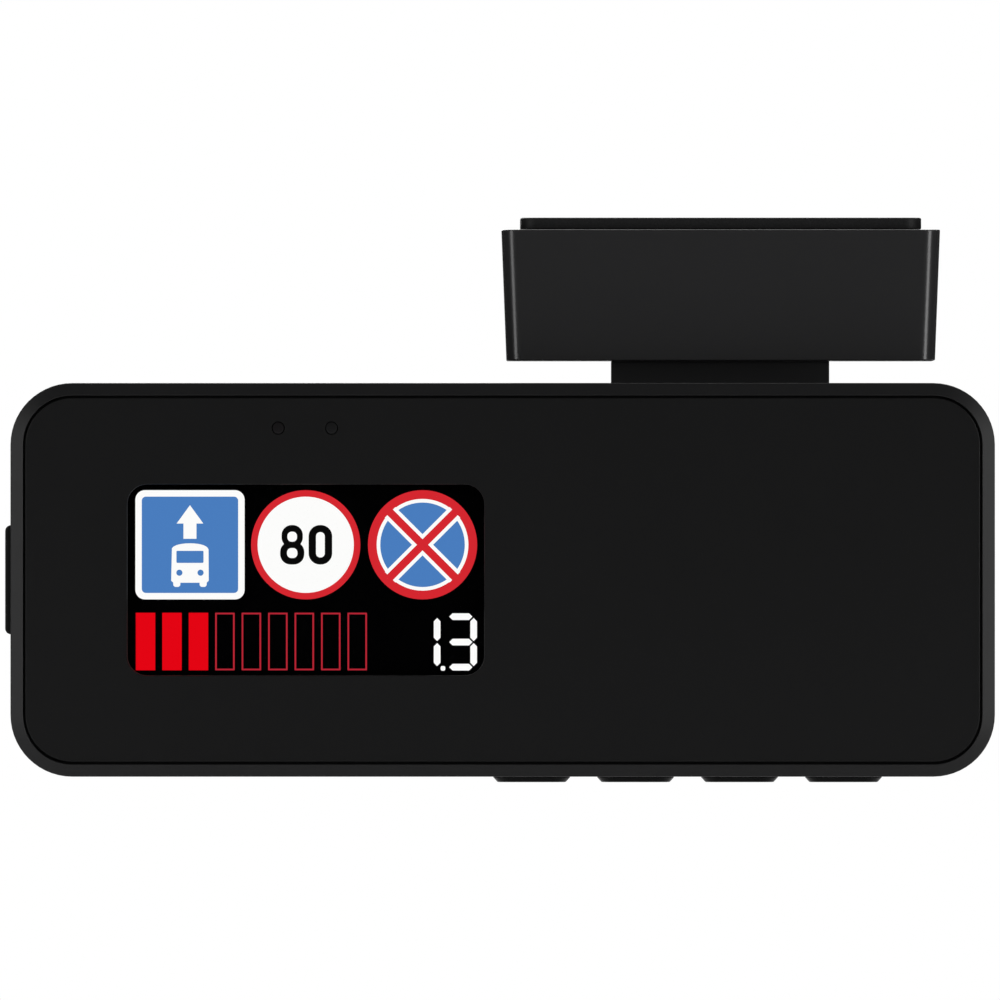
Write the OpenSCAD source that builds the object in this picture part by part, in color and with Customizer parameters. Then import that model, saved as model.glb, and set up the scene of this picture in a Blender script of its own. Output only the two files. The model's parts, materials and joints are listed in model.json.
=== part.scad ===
// Windscreen radar detector: a shallow main unit that tilts under a bracket with a GPS receiver.
// The origin is the centre of the adhesive pad's outer face. +X is to the right as the driver
// sees it, +Y points to the windscreen and +Z is up. All sizes are in millimetres.

/* [Main unit] */
// Width of the main unit
unit_w = 118; // [98.5:0.5:142]
// Height of the main unit
unit_h = 47.2; // [44:0.2:57]
// Depth of the main unit, driver's side to windscreen side
unit_d = 32; // [30:0.5:40]
// Corner radius of the main unit's outline
corner_r = 7.4; // [6:0.2:9]
// Radius of the windscreen-side edges
back_edge_r = 3; // [1:0.25:4]
// Bevel of the driver-side edge
front_bevel = 0.6; // [0.2:0.1:1]
// Wall of the rear housing
wall = 2; // [1.6:0.1:2.6]
// Depth of the front frame, from its front to the seam
frame_d = 5; // [4.6:0.1:6]

/* [Face] */
// Width of the raised rim round the face panel
rim_w = 1.5; // [1:0.1:2]
// Gap between the rim and the face panel
rim_gap = 0.25; // [0.2:0.05:0.6]
// Thickness of the face panel
panel_t = 1.5; // [1:0.1:2]
// How far the face panel lies behind the rim
panel_recess = 0.3; // [0:0.05:0.6]
// Width of the shelf that the face panel is taped to
shelf_w = 2.6; // [1.8:0.1:3.4]
// Thickness of that shelf
shelf_t = 1.2; // [0.8:0.1:1.6]
// Radius of the two small holes above the display
pilot_hole_r = 0.8; // [0.5:0.05:1.1]
// Height of the two small holes below the top of the unit
pilot_hole_drop = 5.4; // [4.6:0.1:6.2]
// Distance of the light sensor's hole from the left edge
sensor_from_left = 32.1; // [24:0.1:34]
// Distance of the status light's hole from the left edge
status_from_left = 38.5; // [36:0.1:41]

/* [Display] */
// Width of the display window
window_w = 42.7; // [36:0.1:50]
// Height of the display window
window_h = 22.8; // [19:0.1:26]
// Corner radius of the display window
window_r = 2.3; // [1:0.1:3]
// Distance of the window from the left edge of the unit
window_from_left = 14.05; // [11:0.05:17]
// Thickness of the display's glass
glass_t = 0.7; // [0.5:0.05:1]
// Thickness of the backlight
backlight_t = 0.9; // [0.6:0.05:1.2]

/* [Buttons] */
// Length of each button
button_w = 9.2; // [7.6:0.1:10.8]
// Depth of each button
button_d = 3.8; // [3.2:0.1:4.4]
// Space between neighbouring buttons
button_space = 3.28; // [2.4:0.02:4]
// Distance of the last button's centre from the right edge
buttons_from_right = 18.08; // [15:0.02:20]
// How far a button stands out below the unit
button_proud = 0.7; // [0.5:0.02:1]
// Travel of a button
button_travel = 0.4; // [0.25:0.05:0.5]

/* [Port cover] */
// Length of the rubber cover over the service socket
cover_h = 13.1; // [12:0.1:15]
// Depth of the rubber cover
cover_d = 6; // [5:0.1:7]
// How far the cover stands out of the side
cover_proud = 0.7; // [0.6:0.02:0.8]

/* [Bracket] */
// Distance of the bracket's centre from the right edge of the unit
bracket_from_right = 32.8; // [30:0.1:39]
// Width of the bracket at its top
bracket_w_top = 52.7; // [46:0.1:63]
// Width of the bracket at its bottom
bracket_w_bottom = 51.6; // [45:0.1:62]
// Depth of the bracket
bracket_d = 34; // [30:0.5:40]
// Height of the bracket
bracket_h = 15.72; // [14.6:0.02:19]
// Corner radius of the bracket
bracket_r = 2; // [1:0.1:3]
// Wall and floor of the bracket
bracket_wall = 2; // [1.6:0.1:2.4]
// Width of the adhesive pad
pad_w = 48.2; // [40:0.1:50]
// Depth of the adhesive pad
pad_d = 30; // [24:0.5:32]
// Thickness of the adhesive pad
pad_t = 1.44; // [0.8:0.02:2]

/* [Hinge] */
// Gap between the bracket and the top of the unit
neck_gap = 2.74; // [2.4:0.02:3.4]
// Width of the neck
neck_w = 26.28; // [22:0.02:31]
// Thickness of the neck
neck_t = 5; // [4.2:0.1:5.6]
// Radius of the barrel at the neck's lower end
barrel_r = 3.4; // [3:0.1:3.6]
// Distance of the hinge axis below the top of the unit
hinge_drop = 4; // [3.8:0.05:4.4]
// Distance of the hinge axis from the windscreen side of the unit
hinge_from_back = 5; // [4.6:0.05:5.2]
// Radius of the hollow hinge pins
pin_r = 1.5; // [1.3:0.05:1.7]
// Bore of the hollow hinge pins, for the cable
pin_bore_r = 0.85; // [0.8:0.05:1]
// Thickness of the friction washers
washer_t = 0.5; // [0.3:0.05:0.8]

/* [Radar and laser] */
// Width of the horn's mouth
horn_w = 32; // [26:0.5:36]
// Height of the horn's mouth
horn_h = 23; // [19:0.5:26]
// Wall of the horn
horn_wall = 1.2; // [0.8:0.1:1.6]
// Distance of the horn from the left edge of the unit
horn_from_left = 12.5; // [11.5:0.1:14]
// Radius of the laser lens
laser_r = 4.6; // [3.8:0.1:5.4]
// Distance of the laser lens from the left edge of the unit
laser_from_left = 55; // [52:0.1:56]

/* [Sound] */
// Radius of the loudspeaker
speaker_r = 10; // [8.4:0.1:11]
// Distance of the loudspeaker from the right edge of the unit
speaker_from_right = 21; // [19:0.1:24]
// Width of a slot in the grille
slot_w = 1.2; // [0.8:0.1:1.6]
// Distance between neighbouring slots
slot_pitch = 2.4; // [2.2:0.1:3]

/* [Fastenings] */
// Radius of the housing screws' shanks
screw_r = 1; // [0.8:0.05:1.2]
// Radius of the housing screws' heads
screw_head_r = 1.9; // [1.7:0.05:2.1]
// Height of the housing screws' heads
screw_head_h = 1.4; // [1:0.1:1.8]
// Distance of the housing screws from the edges of the unit
screw_inset = 7.5; // [7:0.1:8.5]
// Radius of the small screws' shanks
small_screw_r = 0.8; // [0.6:0.05:0.9]
// Radius of the small screws' heads
small_head_r = 1.5; // [1.3:0.05:1.7]
// Height of the small screws' heads
small_head_h = 0.8; // [0.6:0.05:1]

/* [Clearances] */
// Gap between pieces that move past each other
moving_gap = 0.3; // [0.2:0.05:0.4]
// Gap round a button in its hole
button_gap = 0.15; // [0.1:0.05:0.25]
// Gap between pieces that are laid into each other
seat_gap = 0.1; // [0.05:0.05:0.2]
// Radial running clearance of the hinge pins in the barrel
running_gap = 0.05; // [0.02:0.01:0.09]

/* [Hidden] */
$fn = 48;
cut = 1; // overshoot of a cutting shape past the surface that it opens
weld = 0.01; // overlap that joins two shapes of one piece

// The unit's box. Its right edge lies bracket_from_right beyond the bracket's centre.
bracket_top = -pad_t;
bracket_bottom = bracket_top - bracket_h;
unit_top = bracket_bottom - neck_gap;
unit_bottom = unit_top - unit_h;
unit_mid = unit_top - unit_h / 2;
unit_right = bracket_from_right;
unit_left = unit_right - unit_w;
unit_back = hinge_from_back;
unit_front = unit_back - unit_d;
hinge_z = unit_top - hinge_drop;
seam_y = unit_front + frame_d;
inner_back = unit_back - wall;

// The layers of the face, from the driver's side.
panel_front = unit_front + panel_recess;
panel_back = panel_front + panel_t;
shelf_back = panel_back + shelf_t;
tape_t = 0.15;
lens_recess = 0.1;
lens_gap = 0.06;
lip_w = 1.4;
lip_t = 0.7;
gasket_t = 0.5;
gasket_w = 1.2;
glass_front = panel_back + lip_t + gasket_t;
glass_back = glass_front + glass_t;
backlight_back = glass_back + backlight_t;

// The display's outline reaches further past its picture on the ribbon's side.
picture_w = window_w;
picture_h = window_h - 0.1;
border_left = 1.9;
border_right = 5.1;
border_side = 1.55;
display_w = picture_w + border_left + border_right;
display_h = picture_h + 2 * border_side;
window_x = unit_left + window_from_left + window_w / 2;
display_x0 = window_x - picture_w / 2 - border_left;
display_x1 = display_x0 + display_w;

// The main board.
board_t = 1.2;
board_behind_display = 1;
board_front = backlight_back + board_behind_display;
board_back = board_front + board_t;
board_edge_gap = 0.6;
board_w = unit_w - 2 * wall - 2 * board_edge_gap;
board_h = unit_h - 2 * wall - 2 * board_edge_gap;
pillar_r = 3.2;
rib_t = 1.6;
post_r = 2.2;
post_top = 6;
corner_cut = screw_inset + pillar_r - wall;
post_from_left = 14;
post_spacing = 36;
post_from_right = 6;
board_posts = [
    [unit_left + post_from_left, unit_top - post_top],
    [unit_left + post_from_left + post_spacing, unit_top - post_top],
    [unit_left + post_from_left + post_spacing, unit_bottom + post_top],
    [unit_right - post_from_right, unit_mid + 2]
];
corner_screws = [
    for (x = [unit_left + screw_inset, unit_right - screw_inset])
        for (z = [unit_bottom + screw_inset, unit_top - screw_inset]) [x, z]
];

// What stands on the board besides the switches: [from the right edge, above the middle, width,
// height, thickness].
shield_place = [38, 7, 22, 15.5, 2.2];
chip_places = [[18, 8, 6, 5, 1], [18, -1, 6, 6, 2.8], [18, -9, 5, 4, 1]];
connector_t = 2.5;
connector_h = 4;
cell_r = 4.8;
cell_t = 2.1;
cell_from_right = 54.5;
cell_from_top = 14;
speaker_plug_rise = 14;

// The flat ribbon from the display to the driver's side of the board.
ribbon_w = 12;
ribbon_t = 0.2;
ribbon_run = 4;
ribbon_plug_t = 0.5;
backlight_short = 2;

// The light guides behind the two small holes.
guide_flange = 0.5;
guide_flange_t = 1;
guide_chip = 2;
guide_chip_t = 0.7;

// The housing screws: each head is seated near the seam, at the bottom of a deep well.
seat_t = 3;
screw_seat_y = seam_y + seat_t;
screw_tip_y = shelf_back - 1;
well_r = screw_head_r + moving_gap;
screw_gap = 0.15;
board_screw_len = 5.5;

// The hinge: a pocket in the rear housing takes the barrel, and a boss at each end holds a pin.
pocket_half = neck_w / 2 + moving_gap + washer_t;
pocket_reach = barrel_r + 0.5;
boss_t = 5;
pin_engage = 8;
pin_head_r = 2.4;
pin_head_t = 1;
cable_r = 0.7;
cable_hole_r = 1.1;
washer_r = 3.1;
cable_x = -(pocket_half + boss_t + pin_head_t + 2); // where the lower cable turns to the board

// The buttons and their switches, which stand on the windscreen side of the board.
key_y = board_back + button_d / 2 + 0.5; // clear of the board
key_xs = [for (i = [3:-1:0]) unit_right - buttons_from_right - i * (button_w + button_space)];
flange_t = 1;
flange_x = 0.9;
nib_h = 0.55;
nib_r = 1;
key_chamfer = 0.95;
switch_w = 6;
switch_d = 3.5;
switch_h = 3.5;
plunger_r = 0.9;
plunger_h = 0.75;
key_floor = unit_bottom + wall;
nib_top = key_floor + button_gap + flange_t + nib_h;
plunger_bottom = nib_top + button_travel + button_gap;
switch_bottom = plunger_bottom + plunger_h;
switch_y = board_back + switch_d / 2;

// The service socket and its rubber cover, which turns about the rounded lower end.
port_w = 9;
port_d = 3.2;
port_len = 7.3;
port_shell = 0.3;
port_back = 1;
tongue_recess = 2;
tongue_w = 6.6;
tongue_t = 0.7;
port_y = board_back + port_d / 2;
cover_t = 2 * cover_proud;
cover_axis_z = unit_mid - cover_h / 2 + cover_proud;
port_z = unit_mid + cover_proud;
recess_d = cover_proud + moving_gap;
tail_h = 3;
tail_plug_r = 1;
tail_bead = 0.5;
tail_bead_t = 0.8;
tail_plug_z = cover_axis_z - cover_proud - button_gap - tail_h / 2;
tail_bottom = cover_axis_z - cover_proud - button_gap - tail_h;
plug_len = 1;
plug_w = port_w - 2 * port_shell - 1;
plug_d = port_d - 2 * port_shell - 0.8;

// The bracket's inside.
plate_t = 2;
plate_ledge = 0.8;
plate_rim = bracket_wall - plate_ledge;
plate_bottom = bracket_top - plate_t;
floor_top = bracket_bottom + bracket_wall;
bracket_post_r = 2.3;
bracket_post_inset = bracket_wall + 2;
bracket_posts = [
    for (x = [-1, 1])
        for (y = [-1, 1])
            [x * (bracket_w_bottom / 2 - bracket_post_inset), y * (bracket_d / 2 - bracket_post_inset)]
];
neck_screw_x = neck_w * 0.3;
neck_screw_depth = neck_gap + hinge_drop - pin_r - running_gap - 1;
gps_t = 1;
gps_w = bracket_w_bottom - 2 * bracket_wall - 6;
gps_d = bracket_d - 2 * bracket_wall - 10;
antenna_side = 18;
antenna_h = 4;
antenna_gap = 1;
gps_top = plate_bottom - antenna_gap - antenna_h;
gps_bottom = gps_top - gps_t;
gps_post_inset = 2.4;
gps_shield_x = 4;
gps_shield_w = 12;
gps_shield_d = 10;
gps_shield_t = 2;
feed_y = 1.5;
feed_r = 0.8;
feed_h = 0.3;
plate_screw_len = 6;
gps_screw_len = 3.5;
head_gap = 0.2;
gps_posts = [
    for (x = [-1, 1])
        for (y = [-1, 1]) [x * (gps_w / 2 - gps_post_inset), y * (gps_d / 2 - gps_post_inset)]
];

// The radar horn stands on the floor of the unit, with its mouth to the windscreen.
horn_gasket_t = 0.6;
horn_rim_w = 1.5;
horn_mouth_y = inner_back - horn_gasket_t;
rf_shield_t = 2;
rf_gap = switch_d - rf_shield_t + seat_gap;
rf_board_t = 0.8;
horn_throat_y = board_back + rf_gap + rf_shield_t + rf_board_t;
horn_lift = 1.5;
horn_x = unit_left + horn_from_left + horn_w / 2;
horn_z = unit_bottom + wall + horn_lift + horn_h / 2;
throat_w = 10.7;
throat_h = 4.3;
throat_flange_t = 1.5;
rf_w = 28;
rf_h = 20;
rf_shield_w = 18;
rf_shield_h = 14;
header_from_edge = 1;
header_w = 2.5;
header_h = 12;
rf_board_y = horn_throat_y - rf_board_t;

// The laser sensor's lens and tube.
laser_x = unit_left + laser_from_left;
laser_z = unit_mid - 3;
laser_lip = 1.2;
laser_lip_t = 0.8;
laser_tube_t = 1.2;
laser_tube_len = 7;
laser_dome = 0.8;
laser_tube_y = inner_back - laser_tube_len;
laser_board_t = 0.8;
laser_chip = [5, 1.2, 4];

// The loudspeaker faces the windscreen.
speaker_x = unit_right - speaker_from_right;
speaker_z = unit_mid - 8.5;
speaker_gasket_t = 0.8;
speaker_t = 4.5;
speaker_front = inner_back - speaker_gasket_t;
cap_r = 2.4;
cap_depth = 1.4;
cone_r = 8.6;
cone_depth = 1.9;
basket_t = 1.6;
magnet_r = 6;
speaker_rib_t = 1.2;
speaker_rib_y = speaker_front - 2;
wire_turn_y = -8;
wire_low_z = speaker_z + 5;
wire_high_z = unit_mid + speaker_plug_rise;
wire_waist = 0.95; // the upright stretch is drawn a little thinner than its round bends
wire_r = 0.4;
wire_pitch = 1.25;

// The power socket's snout comes out through the top.
socket_x = unit_left + 26;
socket_w = 9;
socket_d = 8;
socket_h = 8.5;
socket_y = board_back + socket_d / 2;
snout_r = 3.2;
snout_gap = 0.2;
socket_bore_r = 2.1;
socket_pin_r = 0.65;
socket_depth = 7.5;
pin_recess = 0.5;

// ---- Shared shapes ----

// A rectangle with round corners, centred.
module round_rect(w, h, r) {
    square([w - 2 * r, h], center = true);
    square([w, h - 2 * r], center = true);
    for (x = [-1, 1])
        for (y = [-1, 1]) translate([x * (w / 2 - r), y * (h / 2 - r)]) circle(r);
}

// Carries a flat shape drawn as [X, Z] into the unit, from y0 back to y1.
module upright(y0, y1) {
    translate([0, y1, 0]) rotate([90, 0, 0]) linear_extrude(y1 - y0) children();
}

// A round rectangle standing at [x, z] from y0 to y1.
module slab(x, z, w, h, r, y0, y1) {
    upright(y0, y1) translate([x, z]) round_rect(w, h, r);
}

// A round bar along Y.
module bar_y(x, z, r, y0, y1) {
    translate([x, y1, z]) rotate([90, 0, 0]) cylinder(r = r, h = y1 - y0);
}

// A round bar along X.
module bar_x(y, z, r, x0, x1) {
    translate([x0, y, z]) rotate([0, 90, 0]) cylinder(r = r, h = x1 - x0);
}

// A box between two corners.
module box(low, high) {
    translate(low) cube(high - low);
}

// The unit's slab, inset on every side and with the corners to match.
module unit_slab(inset, y0, y1) {
    slab((unit_left + unit_right) / 2, unit_mid, unit_w - 2 * inset, unit_h - 2 * inset,
        corner_r - inset, y0, y1);
}

// A plan of the unit along one axis: bevelled in front and rounded behind. It is drawn from
// the middle of its length, with the depth along the second axis.
module depth_profile(length) {
    half = length / 2;
    difference() {
        polygon([
            [-half + front_bevel, unit_front], [half - front_bevel, unit_front],
            [half, unit_front + front_bevel], [half, unit_back],
            [-half, unit_back], [-half, unit_front + front_bevel]
        ]);
        for (side = [-1, 1])
            translate([side * (half - back_edge_r), unit_back - back_edge_r])
                difference() {
                    translate([side > 0 ? 0 : -back_edge_r - cut, 0])
                        square([back_edge_r + cut, back_edge_r + cut]);
                    circle(back_edge_r);
                }
    }
}

// The outer form of the main unit, from y0 to y1.
module unit_form(y0, y1) {
    intersection() {
        unit_slab(0, y0, y1);
        translate([(unit_left + unit_right) / 2, 0, unit_bottom - cut])
            linear_extrude(unit_h + 2 * cut) depth_profile(unit_w);
        translate([unit_left - cut, 0, unit_mid])
            rotate([90, 0, 90]) linear_extrude(unit_w + 2 * cut) rotate([0, 0, 90])
                mirror([0, 1, 0]) depth_profile(unit_h);
    }
}

// A pan-head screw that points along -Z, with its seat at the origin and a cross recess.
module screw(shank_r, length, head_r, head_h) {
    difference() {
        union() {
            cylinder(r = head_r, h = head_h);
            translate([0, 0, -length]) cylinder(r = shank_r, h = length + head_h / 2);
        }
        for (turn = [0, 90])
            rotate([0, 0, turn]) translate([-head_r * 0.6, -head_r * 0.14, head_h * 0.45])
                cube([head_r * 1.2, head_r * 0.28, head_h]);
    }
}

// A frustum along Y between two rectangles, from plane faces.
module frustum(x, z, w0, h0, y0, w1, h1, y1) {
    intersection() {
        translate([x, 0, z - max(h0, h1)]) linear_extrude(2 * max(h0, h1))
            polygon([[-w0 / 2, y0], [w0 / 2, y0], [w1 / 2, y1], [-w1 / 2, y1]]);
        translate([x - max(w0, w1), 0, z]) rotate([90, 0, 90]) linear_extrude(2 * max(w0, w1))
            polygon([[y0, -h0 / 2], [y0, h0 / 2], [y1, h1 / 2], [y1, -h1 / 2]]);
    }
}

// ---- Bracket ----

module adhesive_pad() {
    color([0.07, 0.07, 0.07]) translate([0, 0, bracket_top]) linear_extrude(pad_t)
        round_rect(pad_w, pad_d, bracket_r);
}

module bracket_form() {
    intersection() {
        translate([0, 0, bracket_bottom]) linear_extrude(bracket_h)
            round_rect(bracket_w_top, bracket_d, bracket_r);
        upright(-bracket_d, bracket_d)
            polygon([
                [-bracket_w_bottom / 2, bracket_bottom], [bracket_w_bottom / 2, bracket_bottom],
                [bracket_w_top / 2, bracket_top], [-bracket_w_top / 2, bracket_top]
            ]);
    }
}

module bracket_plate() {
    color([0.1, 0.1, 0.1]) difference() {
        translate([0, 0, plate_bottom]) linear_extrude(plate_t)
            round_rect(bracket_w_bottom - 2 * (plate_rim + seat_gap), bracket_d - 2 * (plate_rim + seat_gap),
                bracket_r - seat_gap);
        for (p = bracket_posts) translate([p[0], p[1], 0]) {
            translate([0, 0, plate_bottom - cut])
                cylinder(r = small_screw_r + head_gap, h = plate_t + 2 * cut);
            translate([0, 0, bracket_top - small_head_h])
                cylinder(r = small_head_r + head_gap, h = cut + small_head_h);
        }
    }
}

module plate_screws() {
    color("silver") for (p = bracket_posts)
        translate([p[0], p[1], bracket_top - small_head_h])
            screw(small_screw_r, plate_screw_len, small_head_r, small_head_h);
}

module bracket_housing() {
    color([0.12, 0.12, 0.12]) difference() {
        union() {
            difference() {
                bracket_form();
                translate([0, 0, floor_top]) linear_extrude(bracket_h)
                    round_rect(bracket_w_bottom - 2 * bracket_wall, bracket_d - 2 * bracket_wall,
                        bracket_r / 2);
                translate([0, 0, plate_bottom]) linear_extrude(plate_t + cut)
                    round_rect(bracket_w_bottom - 2 * plate_rim, bracket_d - 2 * plate_rim, bracket_r);
            }
            for (p = bracket_posts)
                translate([p[0], p[1], floor_top - cut / 2])
                    cylinder(r = bracket_post_r, h = plate_bottom - floor_top + cut / 2);
            for (p = gps_posts)
                translate([p[0], p[1], floor_top - cut / 2])
                    cylinder(r = small_head_r + moving_gap, h = gps_bottom - floor_top + cut / 2);
        }
        for (p = bracket_posts)
            translate([p[0], p[1], plate_bottom - plate_screw_len])
                cylinder(r = small_screw_r, h = plate_screw_len + cut);
        for (p = gps_posts)
            translate([p[0], p[1], gps_top - gps_screw_len - head_gap])
                cylinder(r = small_screw_r, h = gps_screw_len + cut);
        for (side = [-1, 1])
            translate([side * neck_screw_x, 0, bracket_bottom - cut])
                cylinder(r = small_screw_r + head_gap, h = bracket_wall + 2 * cut);
        translate([0, 0, bracket_bottom - cut]) cylinder(r = cable_hole_r, h = bracket_wall + 2 * cut);
    }
}

module gps_board() {
    color([0.1, 0.3, 0.2]) difference() {
        translate([0, 0, gps_bottom]) linear_extrude(gps_t) round_rect(gps_w, gps_d, 1);
        for (p = gps_posts)
            translate([p[0], p[1], gps_bottom - cut])
                cylinder(r = small_screw_r + seat_gap, h = gps_t + 2 * cut);
    }
}

module gps_antenna() {
    color([0.75, 0.7, 0.6]) {
        box([-antenna_side / 2, -antenna_side / 2, gps_top],
            [antenna_side / 2, antenna_side / 2, gps_top + antenna_h]);
        translate([0, feed_y, gps_top + antenna_h - weld]) cylinder(r = feed_r, h = feed_h);
    }
}

module gps_shield() {
    color("silver")
        box([gps_shield_x, -gps_shield_d / 2, gps_bottom - gps_shield_t],
            [gps_shield_x + gps_shield_w, gps_shield_d / 2, gps_bottom]);
}

module gps_board_screws() {
    color("silver") for (p = gps_posts)
        translate([p[0], p[1], gps_top]) screw(small_screw_r, gps_screw_len, small_head_r, small_head_h);
}

module bracket_neck() {
    color([0.1, 0.1, 0.1]) difference() {
        union() {
            bar_x(0, hinge_z, barrel_r, -neck_w / 2, neck_w / 2);
            box([-neck_w / 2, -neck_t / 2, hinge_z], [neck_w / 2, neck_t / 2, bracket_bottom]);
        }
        bar_x(0, hinge_z, pin_r + running_gap, -neck_w / 2 - cut, neck_w / 2 + cut);
        translate([0, 0, hinge_z]) cylinder(r = cable_hole_r, h = hinge_drop + neck_gap + cut);
        for (side = [-1, 1])
            translate([side * neck_screw_x, 0, bracket_bottom - neck_screw_depth])
                cylinder(r = small_screw_r, h = neck_screw_depth + cut);
    }
}

module neck_screws() {
    color("silver") for (side = [-1, 1])
        translate([side * neck_screw_x, 0, floor_top])
            screw(small_screw_r, bracket_wall + neck_screw_depth - 0.3, small_head_r, small_head_h);
}

// From the GPS board down the neck to the hinge axis, where it turns along the axis.
module upper_cable() {
    color([0.05, 0.05, 0.05]) {
        translate([0, 0, hinge_z]) cylinder(r = cable_r, h = gps_bottom - hinge_z);
        translate([0, 0, hinge_z]) sphere(cable_r);
        bar_x(0, hinge_z, cable_r, -2, 0);
    }
}

// ---- Hinge ----

module hinge_pins() {
    color("silver") for (side = [0, 1]) mirror([side, 0, 0]) difference() {
        union() {
            bar_x(0, hinge_z, pin_r, neck_w / 2 - pin_engage, pocket_half + boss_t + pin_head_t / 2);
            bar_x(0, hinge_z, pin_head_r, pocket_half + boss_t, pocket_half + boss_t + pin_head_t);
        }
        bar_x(0, hinge_z, pin_bore_r, 0, pocket_half + boss_t + pin_head_t + cut);
    }
}

module hinge_washers() {
    color([0.8, 0.75, 0.6]) for (side = [0, 1]) mirror([side, 0, 0]) difference() {
        bar_x(0, hinge_z, washer_r, pocket_half - washer_t, pocket_half);
        bar_x(0, hinge_z, pin_r, pocket_half - washer_t - cut, pocket_half + cut);
    }
}

// From the hinge axis through the left pin, then forward to its connector on the main board.
module lower_cable() {
    color([0.05, 0.05, 0.05]) {
        bar_x(0, hinge_z, cable_r, cable_x, -2 - seat_gap);
        translate([cable_x, 0, hinge_z]) sphere(cable_r);
        bar_y(cable_x, hinge_z, cable_r, board_back + connector_t, 0);
    }
}

// ---- Main unit ----

module front_frame() {
    color([0.12, 0.12, 0.12]) difference() {
        union() {
            difference() {
                unit_form(unit_front, seam_y);
                unit_slab(rim_w, unit_front - cut, panel_back + tape_t);
                unit_slab(rim_w + shelf_w, unit_front, seam_y + cut);
                unit_slab(wall, shelf_back, seam_y + cut);
            }
            for (p = corner_screws) {
                bar_y(p[0], p[1], pillar_r, panel_back + tape_t, seam_y);
                edge_z = p[1] > unit_mid ? unit_top - wall : unit_bottom + wall;
                box([p[0] - rib_t / 2, panel_back + tape_t, min(p[1], edge_z) - rib_t / 2],
                    [p[0] + rib_t / 2, seam_y, max(p[1], edge_z) + rib_t / 2]);
            }
        }
        for (p = corner_screws) bar_y(p[0], p[1], screw_r, screw_tip_y, seam_y + cut);
    }
}

module hinge_block() {
    box([-pocket_half - boss_t, -pocket_reach - wall, hinge_z - pocket_reach - wall],
        [pocket_half + boss_t, unit_back - wall / 2, unit_top - wall / 2]);
}

module grille_slots() {
    rows = floor((speaker_r - 1.5) / slot_pitch);
    for (i = [-rows:rows]) {
        half = sqrt(pow(speaker_r - 1, 2) - pow(i * slot_pitch, 2)) - slot_w / 2;
        upright(inner_back - cut, unit_back + cut) translate([speaker_x, speaker_z + i * slot_pitch]) {
            square([2 * half, slot_w], center = true);
            for (side = [-1, 1]) translate([side * half, 0]) circle(slot_w / 2);
        }
    }
}

module rear_housing() {
    color([0.11, 0.11, 0.11]) difference() {
        union() {
            difference() {
                unit_form(seam_y, unit_back);
                unit_slab(wall, seam_y - cut, inner_back);
            }
            hinge_block();
            for (p = corner_screws) bar_y(p[0], p[1], pillar_r, seam_y, inner_back + wall / 2);
            for (p = board_posts) bar_y(p[0], p[1], post_r, board_back, inner_back + wall / 2);
            bar_y(speaker_x, speaker_z, speaker_r + seat_gap + speaker_rib_t, speaker_rib_y,
                inner_back + wall / 2);
            bar_y(laser_x, laser_z, laser_r + laser_lip + laser_tube_t, laser_tube_y, inner_back + wall / 2);
        }
        bar_y(speaker_x, speaker_z, speaker_r + seat_gap, speaker_rib_y - cut, inner_back);
        bar_y(laser_x, laser_z, laser_r + laser_lip, laser_tube_y - cut, inner_back);
        bar_y(laser_x, laser_z, laser_r + seat_gap, inner_back - cut, unit_back + cut);
        // The hinge pocket, open to the top and to the windscreen side, and the pins' bores.
        box([-pocket_half, -pocket_reach, hinge_z - pocket_reach],
            [pocket_half, unit_back + cut, unit_top + cut]);
        bar_x(0, hinge_z, pin_r, -pocket_half - boss_t - cut, pocket_half + boss_t + cut);
        for (side = [0, 1]) mirror([side, 0, 0])
            bar_x(0, hinge_z, pin_head_r + seat_gap, pocket_half + boss_t,
                pocket_half + boss_t + pin_head_t + seat_gap);
        for (p = corner_screws) {
            bar_y(p[0], p[1], screw_r + screw_gap, seam_y - cut, unit_back + cut);
            bar_y(p[0], p[1], well_r, screw_seat_y, unit_back + cut);
        }
        for (p = board_posts)
            bar_y(p[0], p[1], small_screw_r, board_back - cut, board_back + board_screw_len);
        grille_slots();
        // The power socket's hole, in the top.
        translate([socket_x, socket_y, unit_top - wall - cut])
            cylinder(r = snout_r + snout_gap, h = wall + 2 * cut);
        // The buttons' holes, in the bottom.
        for (x = key_xs) translate([x, key_y, unit_bottom - cut]) linear_extrude(wall + 2 * cut)
            round_rect(button_w + 2 * button_gap, button_d + 2 * button_gap,
                button_d / 2 + button_gap - weld);
        // The cover's recess, the service socket's hole and the tail's hole, in the left side.
        box([unit_left - cut, port_y - cover_d / 2 - moving_gap, cover_axis_z - cover_proud - button_gap],
            [unit_left + recess_d, port_y + cover_d / 2 + moving_gap,
                cover_axis_z - cover_proud + cover_h + moving_gap]);
        box([unit_left - cut, port_y - cover_d / 2, tail_bottom],
            [unit_left + recess_d, port_y + cover_d / 2, cover_axis_z]);
        box([unit_left, port_y - port_d / 2 - seat_gap, port_z - port_w / 2 - seat_gap],
            [unit_left + wall + cut, port_y + port_d / 2 + seat_gap, port_z + port_w / 2 + seat_gap]);
        bar_x(port_y, tail_plug_z, tail_plug_r, unit_left, unit_left + wall + cut);
    }
}

module housing_screws() {
    color("silver") for (p = corner_screws)
        translate([p[0], screw_seat_y, p[1]]) rotate([-90, 0, 0])
            screw(screw_r, screw_seat_y - screw_tip_y - screw_gap, screw_head_r, screw_head_h);
}

module face_panel() {
    color([0.1, 0.1, 0.1]) difference() {
        unit_slab(rim_w + rim_gap, panel_front, panel_back);
        slab(window_x, unit_mid, window_w + 2 * lens_gap, window_h + 2 * lens_gap, window_r + lens_gap,
            panel_front - cut, panel_back + cut);
        for (x = [sensor_from_left, status_from_left])
            bar_y(unit_left + x, unit_top - pilot_hole_drop, pilot_hole_r,
                panel_front - cut, panel_back + cut);
    }
}

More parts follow.
